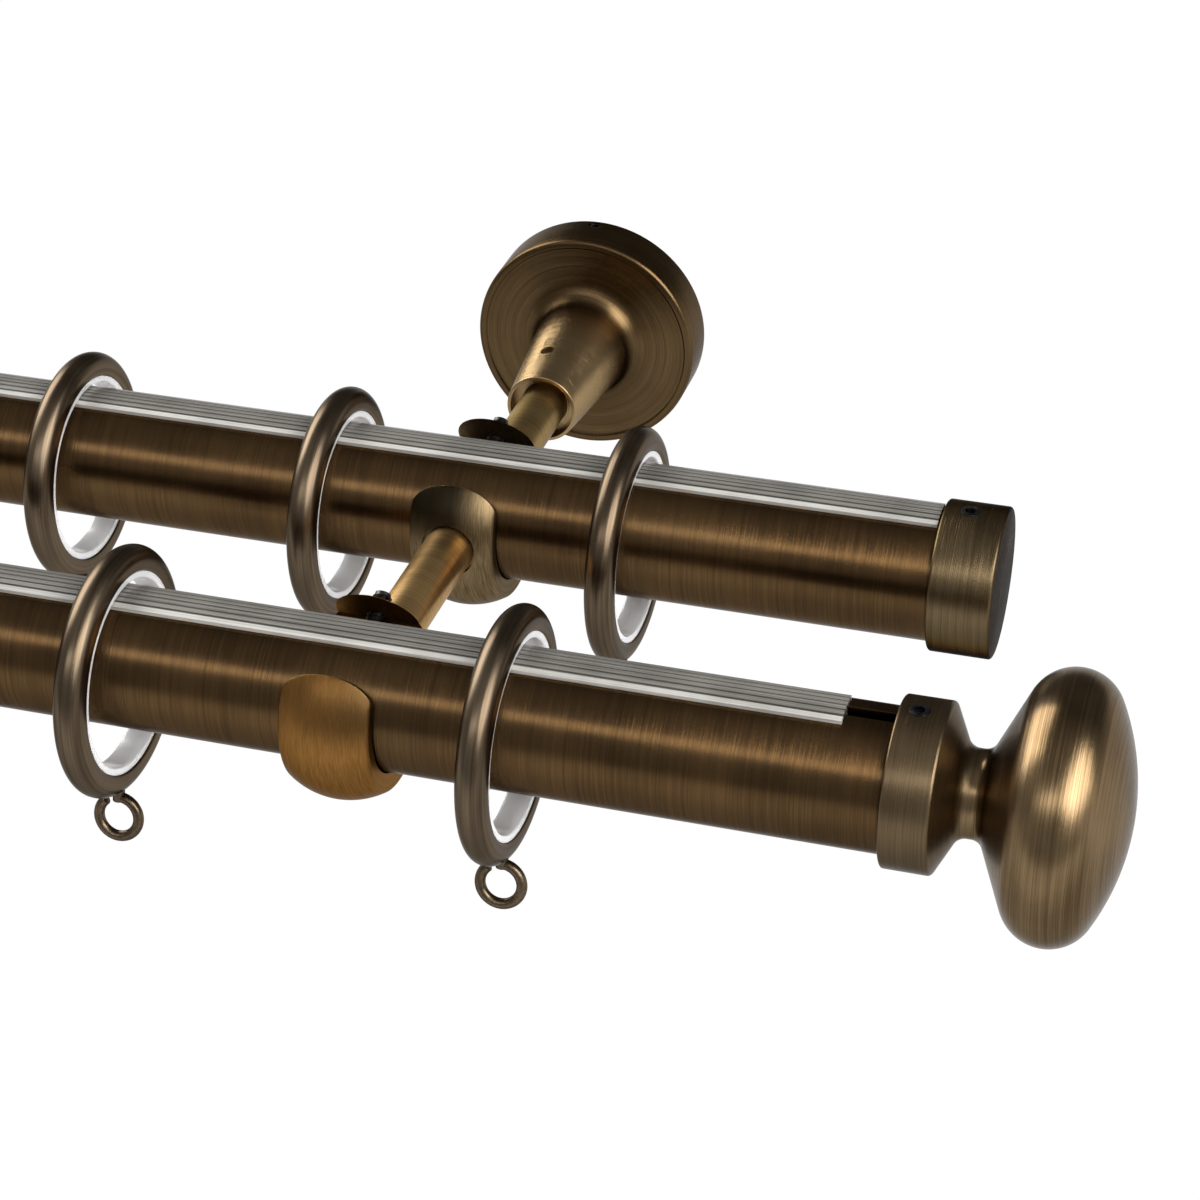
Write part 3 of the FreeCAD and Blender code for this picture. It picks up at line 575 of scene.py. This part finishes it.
for side in ("right", "left"):
    for row in ("rear", "front"):
        node = "{}_{}_cradle".format(side, row)
        make_active(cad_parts[node])
        bpy.ops.object.duplicate(linked=False)
        cradle = bpy.context.object
        cradle.name = "{}_{}_cup".format(side, row)
        for key in list(cradle.keys()):
            if key.startswith("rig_"):
                del cradle[key]
        open_up()
        bpy.ops.mesh.remove_doubles(threshold=0.1 * NEAR)
        bpy.ops.mesh.dissolve_limited(angle_limit=math.radians(0.5))
        bpy.ops.object.mode_set(mode="OBJECT")
        tones = CUP_TONES_AND_SHADE[row]
        axis_y = pole_axes[row].y

        def painted_tongue_shade(x, y, z):
            """The upper part of the tongue in front of the pole, where shade is painted."""
            from_middle = x - bracket_x[side]
            across = from_middle.between(0.0, TONGUE_SHADE_ACROSS, tones["middle"], tones["right"])
            in_front = y.between(axis_y - 3 * MM, axis_y + 3 * MM, 1.0, 0.0)
            return z.between(*TONGUE_SHADE_RISE) * across * in_front

        cup_brass = brushed_brass(cradle.name + " brass", "X", pole_axes[row], tones["dark"],
                                  tones["light"], roughness=0.38, scratch_depth=0.03 * MM,
                                  coat=0.02, patch=painted_tongue_shade, patch_colour=tones["tongue_shade"])
        # Both finishes are on the cradle before the bevel, which gives its rims the second one
        fit(cradle, "root", "cast_brass", [cup_brass, rubbed_brass], node)
        break_edges(cradle, CUP_RIM, segments=3, degrees=40, material=1)
        smooth(cradle, 30)
        modify(cradle, "WEIGHTED_NORMAL", keep_sharp=True)

# Finials
# One turned piece on each end of the front pole: a collar sleeved over the tube, a cone, a
# neck and a flattened ball. A set screw through the collar holds it.
COLLAR_RADIUS = 16.4 * MM
COLLAR_LENGTH = 9.2 * MM
COLLAR_EDGE = 0.5 * MM
SLEEVE_RADIUS = 14.04 * MM
SLEEVE_EDGE = 0.15 * MM
CONE_LENGTH = 4.0 * MM
NECK_RADIUS = 8.5 * MM
NECK_LENGTH = 4.1 * MM
NECK_COVE = 1.5 * MM
KNOB_RADIUS = 26.0 * MM
KNOB_RIM = 9.0 * MM
KNOB_NOSE = 13.2 * MM
RIM_STEPS = 30
NOSE_STEPS = 22
END_SCREW_RADIUS = 2.0 * MM
COLLAR_SCREW_INSET = 1.9 * MM  # from the tube's end
DRILLED_FROM = 12 * MM  # from the pole's axis, inside the sleeve
DRILLED_LENGTH = 8 * MM
FINIAL_DARK = (0.115, 0.070, 0.029, 1)
FINIAL_LIGHT = (0.270, 0.184, 0.095, 1)
COLLAR_COLOUR = (0.105, 0.075, 0.042, 1)
COLLAR_SHARE = 0.6
COLLAR_FADE = 6 * MM
low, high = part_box("right_finial")
middle_x = pole_axes["front"].x
# The ball's rim is a small round and its nose a large one, and the two meet without a corner
knob_x = high.x - KNOB_NOSE
rim_radius = KNOB_RADIUS - KNOB_RIM
nose_radius = (KNOB_NOSE ** 2 + rim_radius ** 2 - KNOB_RIM ** 2) / (2 * (KNOB_NOSE - KNOB_RIM))
nose_x = high.x - nose_radius
meet = math.atan2(rim_radius, knob_x - nose_x)
neck_end = low.x + COLLAR_LENGTH + CONE_LENGTH + NECK_LENGTH
away = math.hypot(knob_x - neck_end, rim_radius - NECK_RADIUS)
slope = math.atan2(rim_radius - NECK_RADIUS, knob_x - neck_end)
flare = slope + math.asin(KNOB_RIM / away) + math.pi / 2
tube_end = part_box("front_pole")[1].x
rings = [
    (tube_end, SLEEVE_RADIUS),
    (low.x, SLEEVE_RADIUS, SLEEVE_EDGE),
    (low.x, COLLAR_RADIUS, COLLAR_EDGE),
    (low.x + COLLAR_LENGTH, COLLAR_RADIUS, COLLAR_EDGE),
    (low.x + COLLAR_LENGTH + CONE_LENGTH, NECK_RADIUS, NECK_COVE),
    (neck_end, NECK_RADIUS, NECK_COVE)]
for i in range(RIM_STEPS + 1):
    turn = flare + (meet - flare) * i / RIM_STEPS
    rings.append((knob_x + KNOB_RIM * math.cos(turn), rim_radius + KNOB_RIM * math.sin(turn)))
for i in range(1, NOSE_STEPS + 1):
    turn = meet * (1 - i / (NOSE_STEPS + 0.5))
    rings.append((nose_x + nose_radius * math.cos(turn), nose_radius * math.sin(turn)))
rings.append((high.x, 0.01 * MM))
finial = turned("right_knob", "X", pole_axes["front"], rings, sides=224, ends=("flat", "point"))


def drill_from_above(piece, x, axis_y):
    """Drills the hole of an end screw through the top of a sleeve."""
    hole = drill(END_SCREW_RADIUS + HOLE_CLEARANCE, (x, axis_y, DRILLED_FROM), (0, 0, 1), DRILLED_LENGTH)
    cut_with(piece, hole)
    smooth(piece)


collar_screw_x = tube_end - COLLAR_SCREW_INSET
drill_from_above(finial, collar_screw_x, pole_axes["front"].y)


def dull_collar(x, y, z):
    """The collar and the cone are a little duller than the ball."""
    ball_starts = neck_end - middle_x
    return abs(x - middle_x).between(ball_starts - COLLAR_FADE, ball_starts, COLLAR_SHARE, 0.0)


def copied(piece, name, shift=Vector(), mirror_at=None):
    """A copy with its own mesh, moved or mirrored across a place along the poles."""
    make_active(piece)
    bpy.ops.object.duplicate(linked=False)
    twin = bpy.context.object
    twin.name = name
    twin.data.name = name
    twin.location = shift
    if mirror_at is not None:
        twin.scale.x = -1
        twin.location.x = 2 * mirror_at
    bpy.ops.object.transform_apply(location=True, rotation=True, scale=True)
    if mirror_at is not None:
        open_up()
        bpy.ops.mesh.normals_make_consistent(inside=False)
        bpy.ops.object.mode_set(mode="OBJECT")
    return twin


finial_brass = brushed_brass("finial brass", "X", pole_axes["front"], FINIAL_DARK, FINIAL_LIGHT,
                             roughness=0.22, scratch_depth=0.04 * MM, coat=0.2,
                             patch=dull_collar, patch_colour=COLLAR_COLOUR, patch_dulls=0.2)
left_finial = copied(finial, "left_knob", mirror_at=middle_x)
fit(finial, "root", "turned_brass", [finial_brass], "right_finial")
fit(left_finial, "root", "turned_brass", [finial_brass], "left_finial")

# End caps
# Plain turned brass cups with a flat face, sleeved over the ends of the rear pole. Each is
# held by a set screw through its top.
CAP_RADIUS = 15.9 * MM
CAP_EDGE = 0.6 * MM
CAP_SCREW_INSET = 6.2 * MM
CAP_DARK = (0.104, 0.073, 0.037, 1)
CAP_LIGHT = (0.19, 0.136, 0.073, 1)
low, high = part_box("right_end_cap")
cap = turned("right_cup_cap", "X", pole_axes["rear"], [
    (tube_end, SLEEVE_RADIUS),
    (low.x, SLEEVE_RADIUS, SLEEVE_EDGE),
    (low.x, CAP_RADIUS, CAP_EDGE),
    (high.x, CAP_RADIUS, CAP_EDGE)], sides=192, ends=("flat", "flat"))
cap_screw_x = tube_end - CAP_SCREW_INSET
drill_from_above(cap, cap_screw_x, pole_axes["rear"].y)
cap_brass = brushed_brass("cap brass", "X", pole_axes["rear"], CAP_DARK, CAP_LIGHT, roughness=0.3,
                          scratch_depth=0.06 * MM, coat=0.03, edge=(0.03, 0.03, 0.03, 1))
left_cap = copied(cap, "left_cup_cap", mirror_at=middle_x)
fit(cap, "root", "turned_brass", [cap_brass], "right_end_cap")
fit(left_cap, "root", "turned_brass", [cap_brass], "left_end_cap")

# Set screws
# Blackened steel screws with a hexagon socket, one in each collar and cap. They are screwed
# down on the tube and so hold the finials and the caps.
HEX_ACROSS = 2.3 * MM
HEX_DEPTH = 1.2 * MM
HEX_DRILLING = 3 * MM
SCREW_EDGE = 0.18 * MM
SCREW_SEAT = 14.05 * MM  # just clear of the tube, from the pole's axis
SCREW_PROUD = 0.1 * MM  # of the sleeve
# The steel is blackened in oil and has a faint grey bloom
finish, s = new_finish("blackened steel")
place = s.node("TexCoord", outlet="Object")
bloom = s.node("TexNoise", values={"Vector": place, "Scale": 900.0, "Detail": 3.0}, outlet="Fac")
steel = s.node("BsdfPrincipled", values={
    "Base Color": bloom.tint((0.02, 0.02, 0.021, 1), (0.09, 0.09, 0.093, 1)),
    "Metallic": 1.0,
    "Roughness": bloom.between(0.3, 0.7, 0.24, 0.4),
})
screw_steel = show(finish, steel)


def socket_screw(name, radius, tip, direction, length):
    """A headless screw: its end is bevelled and has a hexagon socket."""
    direction = Vector(direction).normalized()
    piece = drill(radius, tip, direction, length, sides=64)
    piece.name = name
    break_edges(piece, SCREW_EDGE)
    size = radius / END_SCREW_RADIUS
    socket_floor = Vector(tip) + direction * (length - HEX_DEPTH * size)
    cut_with(piece, drill(HEX_ACROSS / 2 * size, socket_floor, direction, HEX_DRILLING, sides=6))
    smooth(piece)
    return piece


screws = []
for x, row, sleeve in ((collar_screw_x, "front", COLLAR_RADIUS), (cap_screw_x, "rear", CAP_RADIUS)):
    tip = Vector((x, pole_axes[row].y, SCREW_SEAT))
    screw = socket_screw(row + "_end_screw", END_SCREW_RADIUS, tip, (0, 0, 1),
                         sleeve + SCREW_PROUD - tip.z)
    screws.append(screw)
    screws.append(copied(screw, row + "_end_screw_left", mirror_at=middle_x))
make_active(screws[0])
for screw in screws[1:]:
    screw.select_set(True)
bpy.ops.object.join()
end_screws = screws[0]
end_screws.name = "end_set_screws"
fit(end_screws, "root", "black_steel", [screw_steel], "end_screws")

# Rose screws
# Smaller set screws of the same kind: one in the rose's rim, which locks it on the wall plate,
# and one in its cone, which locks the stem.
RIM_SCREW_LENGTH = 2.4 * MM
RIM_SCREW_IN_HOLLOW = 0.25 * MM
CONE_SCREW_LENGTH = 2.7 * MM
for side in ("right", "left"):
    x = bracket_x[side]
    rim_tip = (x, -RIM_SCREW_PLACE, ROSE_HOLLOW - RIM_SCREW_IN_HOLLOW)
    rim = socket_screw(side + "_rim_screw", ROSE_SCREW_RADIUS, rim_tip, (0, 0, 1), RIM_SCREW_LENGTH)
    cone_tip = Vector((x, -CONE_SCREW_PLACE, 0)) + cone_direction * SOCKET_RADIUS
    cone = socket_screw(side + "_cone_screw", ROSE_SCREW_RADIUS, cone_tip, cone_direction,
                        CONE_SCREW_LENGTH)
    make_active(rim)
    cone.select_set(True)
    bpy.ops.object.join()
    rim.name = side + "_rose_set_screws"
    fit(rim, "root", "black_steel", [screw_steel], side + "_rose_screws")

# Clamp screws
# Threaded black screws through the rear tongues of the cradles. They press on the poles and
# keep them from turning and sliding.
CLAMP_RADIUS = 2.0 * MM
CLAMP_TURN = math.radians(57)  # back from the top of the pole
CLAMP_LENGTH = 7.7 * MM
CLAMP_EDGE = 0.2 * MM
THREAD_PITCH = 0.75 * MM
THREAD_DEPTH = 0.38 * MM
for side in ("right", "left"):
    threads = []
    for row in ("rear", "front"):
        bpy.ops.mesh.primitive_circle_add(vertices=4, radius=1, location=(0, 0, 0))
        thread = bpy.context.object
        thread.name = "{}_{}_clamp_screw".format(side, row)
        choose(thread, "VERT", lambda c: c.y < -0.5)
        bpy.ops.mesh.delete(type="VERT")
        bpy.ops.object.mode_set(mode="OBJECT")
        # Three corners are left: one flank up, the crest and one flank down
        corners = sorted(thread.data.vertices, key=lambda v: v.co.x)
        flank = (CLAMP_RADIUS - THREAD_DEPTH, CLAMP_RADIUS, CLAMP_RADIUS - THREAD_DEPTH)
        for i, corner in enumerate(corners):
            corner.co = (flank[i], 0, THREAD_PITCH * i / 2)
        turns = round(CLAMP_LENGTH / THREAD_PITCH) - 1
        modify(thread, "SCREW", axis="Z", steps=40, render_steps=40, screw_offset=THREAD_PITCH,
               iterations=turns, use_merge_vertices=True, use_normal_calculate=True)
        core = drill(CLAMP_RADIUS - THREAD_DEPTH + NEAR, (0, 0, 0), (0, 0, 1), CLAMP_LENGTH, sides=48)
        break_edges(core, CLAMP_EDGE)
        make_active(thread)
        core.select_set(True)
        bpy.ops.object.join()
        axis_at = pole_axes[row]
        outwards = Vector((0, math.sin(CLAMP_TURN), math.cos(CLAMP_TURN)))
        thread.rotation_euler = outwards.to_track_quat("Z", "Y").to_euler()
        thread.location = Vector((bracket_x[side], axis_at.y, 0)) + outwards * SCREW_SEAT
        bpy.ops.object.transform_apply(location=True, rotation=True, scale=True)
        smooth(thread, 40)
        threads.append(thread)
    make_active(threads[0])
    threads[1].select_set(True)
    bpy.ops.object.join()
    threads[0].name = side + "_threaded_clamps"
    fit(threads[0], "root", "black_steel", [screw_steel], side + "_clamp_screws")

# Wall plates
# Round zinc-plated steel discs, each with two holes for the wall screws. They hide inside the
# roses, so the nodes of the solids are kept and only given their finish.
finish, s = new_finish("zinc plate")
place = s.node("TexCoord", outlet="Object")
spangle = s.node("TexNoise", values={"Vector": place, "Scale": 160.0, "Detail": 4.0}, outlet="Fac")
zinc = s.node("BsdfPrincipled", values={
    "Base Color": spangle.tint((0.42, 0.42, 0.44, 1), (0.62, 0.62, 0.63, 1)),
    "Metallic": 1.0,
    "Roughness": spangle.between(0.3, 0.7, 0.35, 0.5),
})
zinc_finish = show(finish, zinc)
for side in ("right", "left"):
    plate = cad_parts[side + "_wall_plate"]
    plate.data.materials.clear()
    plate.data.materials.append(zinc_finish)

# Curtain rings
# Brass rings with a half-round outside, lined with a white nylon band so that they run
# quietly, each with a screw eye below that a curtain hook goes into.
RING_RADIUS = 25.6 * MM
RING_BORE = 20.6 * MM
RING_HALF_WIDTH = 3.1 * MM
RING_BORE_EDGE = 0.8 * MM
RING_SIDES = 176
ROUND_STEPS = 24
RING_DARK = (0.088, 0.061, 0.037, 1)
RING_LIGHT = (0.152, 0.113, 0.073, 1)
LINER_RADIUS = RING_BORE - 0.02 * MM
LINER_BORE = 19.2 * MM
LINER_HALF_WIDTH = 2.7 * MM
LINER_EDGE = 0.4 * MM
EYE_WIRE = 1.1 * MM
EYE_LOOP = 4.3 * MM
EYE_NECK = 0.6 * MM  # between the ring and the loop
EYE_TURN = math.radians(322)
EYE_SWING = math.radians(12)
EYE_EDGE = 0.2 * MM
SHANK_RADIUS = 1.25 * MM
SHANK_IN_RING = 2.5 * MM
SHANK_IN_LOOP = 2 * MM
SHANK_EDGE = 0.3 * MM

finish, s = new_finish("white nylon")
place = s.node("TexCoord", outlet="Object")
cloud = s.node("TexNoise", values={"Vector": place, "Scale": 260.0, "Detail": 3.0}, outlet="Fac")
nylon_bump = s.node("Bump", values={"Height": cloud, "Distance": 0.03 * MM, "Strength": 0.6})
nylon = s.node("BsdfPrincipled", values={
    "Base Color": cloud.tint((0.90, 0.905, 0.92, 1), (0.95, 0.952, 0.96, 1)),
    "Roughness": cloud.between(0.3, 0.7, 0.34, 0.46),
    "Subsurface Weight": 0.8,
    "Subsurface Radius": (1.0, 1.0, 1.0),
    "Subsurface Scale": 0.004,
    "Coat Weight": 1.0,
    "Coat Roughness": 0.15,
    "Normal": nylon_bump,
})
nylon_finish = show(finish, nylon)

for row, count in (("rear", 3), ("front", 2)):
    low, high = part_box("right_{}_1_ring".format(row))
    centre = (low + high) / 2
    down = Vector((0, -math.sin(EYE_SWING), -math.cos(EYE_SWING)))
    # The hoop: up one side, over the half-round outside, down the other side and back in the bore
    rings = [(centre.x - RING_HALF_WIDTH, RING_BORE, RING_BORE_EDGE)]
    for i in range(ROUND_STEPS + 1):
        turn = math.pi * i / ROUND_STEPS
        rings.append((centre.x - RING_HALF_WIDTH * math.cos(turn),
                      RING_RADIUS - RING_HALF_WIDTH + RING_HALF_WIDTH * math.sin(turn)))
    rings.append((centre.x + RING_HALF_WIDTH, RING_BORE, RING_BORE_EDGE))
    rings.append((centre.x - RING_HALF_WIDTH, RING_BORE))
    ring = turned("right_{}_hoop_1".format(row), "X", centre, rings, sides=RING_SIDES)
    liner = turned("right_{}_lining_1".format(row), "X", centre, [
        (centre.x - LINER_HALF_WIDTH, LINER_RADIUS),
        (centre.x + LINER_HALF_WIDTH, LINER_RADIUS),
        (centre.x + LINER_HALF_WIDTH, LINER_BORE, LINER_EDGE),
        (centre.x - LINER_HALF_WIDTH, LINER_BORE, LINER_EDGE),
        (centre.x - LINER_HALF_WIDTH, LINER_RADIUS)], sides=RING_SIDES)
    # The eye: a wire circle spun almost all the way round, then a shank into the ring
    loop_centre = centre + down * (RING_RADIUS + EYE_NECK + EYE_WIRE + EYE_LOOP)
    across = down.cross(Vector((1, 0, 0)))
    start = loop_centre - down * EYE_LOOP
    bpy.ops.mesh.primitive_circle_add(vertices=28, radius=EYE_WIRE, location=start,
                                      rotation=(0, math.pi / 2, 0))
    eye = bpy.context.object
    eye.name = "right_{}_eye_1".format(row)
    bpy.ops.object.transform_apply(location=True, rotation=True, scale=True)
    open_up()
    bpy.ops.mesh.edge_face_add()
    bpy.ops.mesh.spin(steps=72, angle=EYE_TURN, center=loop_centre, axis=across)
    bpy.ops.mesh.select_all(action="SELECT")
    bpy.ops.mesh.remove_doubles(threshold=NEAR)
    bpy.ops.mesh.normals_make_consistent(inside=False)
    bpy.ops.object.mode_set(mode="OBJECT")
    break_edges(eye, EYE_EDGE, degrees=60)
    shank = drill(SHANK_RADIUS, centre + down * (RING_RADIUS - SHANK_IN_RING), down,
                  SHANK_IN_RING + EYE_NECK + SHANK_IN_LOOP)
    break_edges(shank, SHANK_EDGE, segments=3)
    make_active(eye)
    shank.select_set(True)
    bpy.ops.object.join()
    smooth(eye)
    ring_brass = brushed_brass(row + " ring bronze", "X", centre, RING_DARK, RING_LIGHT,
                               roughness=0.3, scratch_depth=0.03 * MM, scratch_width=0.55 * MM)
    parts = {"ring": (ring, "hoop", "ring_bronze", ring_brass),
             "liner": (liner, "lining", "liner_nylon", nylon_finish),
             "eyelet": (eye, "eye", "eyelet_bronze", ring_brass)}
    # Every copy is made before the first ring is set on its body
    made = []
    for side in ("right", "left"):
        for number in range(1, count + 1):
            low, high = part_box("{}_{}_{}_ring".format(side, row, number))
            shift = (low + high) / 2 - centre
            for part, (piece, spoken, slot, finish) in parts.items():
                if (side, number) == ("right", 1):
                    twin = piece
                else:
                    twin = copied(piece, "{}_{}_{}_{}".format(side, row, spoken, number), shift)
                made.append((twin, side, number, part, slot, finish))
    for twin, side, number, part, slot, finish in made:
        fit(twin, "{}_{}_ring_{}".format(side, row, number), slot, [finish],
            "{}_{}_{}_{}".format(side, row, number, part))

# Floor and backdrop
# A pale paper sweep under the part, in a white studio. The camera sees both as white, while the
# metal mirrors them greyer in some directions, as the dark sides of a studio would be.
FLOOR_DROP = 0.30
FLOOR_SIZE = 60
FLOOR_GLOW = 0.96  # the rest is lit paper, which takes the part's shadow
bpy.ops.mesh.primitive_plane_add(size=FLOOR_SIZE, location=(0, 0, -FLOOR_DROP))
floor = bpy.context.object
floor.name = "floor"
finish, s = new_finish("pale sweep")
ray = s.node("LightPath", outlet="Is Camera Ray")
seen = s.maths("MINIMUM", ray + ray.other("Is Glossy Ray") + ray.other("Is Transmission Ray"), 1.0)
place = s.node("TexCoord", outlet="Object")
to_front = s.node("SeparateXYZ", values={"Vector": place}).other("Y")
paper = s.node("BsdfDiffuse", values={"Color": (0.9, 0.9, 0.9, 1)})
# What the metal mirrors: dim far in front, bright nearer, greyer under the poles, white behind
mirrored = (to_front.between(-1.8, -0.8, 0.3, 0.95) - to_front.between(-0.6, -0.25, 0.0, 0.35)
            + to_front.between(-0.15, 0.02, 0.0, 0.4))
brightness = s.maths("MAXIMUM", ray, mirrored)
glow = s.node("Emission", values={"Color": brightness, "Strength": 1.0})
sweep = s.node("MixShader", values={0: seen * FLOOR_GLOW, 1: paper, 2: glow})
floor.data.materials.append(show(finish, sweep))

world = bpy.data.worlds.new("studio")
bpy.context.scene.world = world
world.use_nodes = True
world.node_tree.nodes.clear()
s = Shade(world.node_tree)
towards = s.node("SeparateXYZ", values={"Vector": s.node("TexCoord", outlet="Generated")})
at_right = towards.other("X").between(0.3, 0.9, 0.0, 0.3)
low_down = towards.other("Z").between(0.0, 0.35, 1.0, 0.0)
# Dimmer behind the part than in front of it, with a glow low at its right end
studio_walls = towards.other("Y").between(-0.3, 0.5, 0.34, 0.11) + at_right * low_down
backdrop = s.maths("MAXIMUM", s.node("LightPath", outlet="Is Camera Ray"), studio_walls)
sky = s.node("Background", values={"Color": backdrop, "Strength": 1.0})
output = world.node_tree.nodes.new("ShaderNodeOutputWorld")
world.node_tree.links.new(sky.socket, output.inputs["Surface"])

# Lamps
# Two large soft boxes, one beyond each end of the poles, and a long strip light high in front
# that draws the highlight along the tubes.
LAMP_DISTANCE = 3.5


def soft_box(name, azimuth, elevation, width, height, radiance):
    """A flat lamp that faces the part. Azimuth 0 is in front of the poles, 90 at their right end."""
    turn, rise = math.radians(azimuth), math.radians(elevation)
    towards = Vector((math.sin(turn) * math.cos(rise), -math.cos(turn) * math.cos(rise), math.sin(rise)))
    lamp = bpy.data.lights.new(name, "AREA")
    lamp.shape = "RECTANGLE"
    lamp.size, lamp.size_y = width, height
    lamp.energy = radiance * math.pi * width * height
    holder = bpy.data.objects.new(name, lamp)
    bpy.context.scene.collection.objects.link(holder)
    holder.location = towards * LAMP_DISTANCE
    holder.rotation_euler = towards.to_track_quat("Z", "Y").to_euler()


soft_box("left soft box", azimuth=-112, elevation=30, width=2.6, height=2.4, radiance=6.5)
soft_box("right soft box", azimuth=66, elevation=34, width=3.0, height=2.2, radiance=6.75)
soft_box("front strip light", azimuth=5, elevation=38, width=4.6, height=0.7, radiance=2.85)

# Camera
# It stands in front of the right-hand end, a little above it, and looks down with a long lens
# on the last third of the poles.
CAMERA_AT = Vector((0.18218, -0.61351, 0.31658))
CAMERA_AZIMUTH = math.radians(16.54)
CAMERA_ELEVATION = math.radians(31.69)
CAMERA_ROLL = math.radians(-0.30)
lens = bpy.data.cameras.new("camera")
lens.sensor_width = 36
lens.lens = 88.74
lens.clip_start = 0.01
camera = bpy.data.objects.new("camera", lens)
bpy.context.scene.collection.objects.link(camera)
camera.location = CAMERA_AT
facing = (Matrix.Rotation(CAMERA_AZIMUTH, 3, "Z")
          @ Matrix.Rotation(math.pi / 2 - CAMERA_ELEVATION, 3, "X")
          @ Matrix.Rotation(CAMERA_ROLL, 3, "Z"))
camera.rotation_euler = facing.to_euler()
bpy.context.scene.camera = camera
bpy.context.scene.view_settings.view_transform = "Standard"
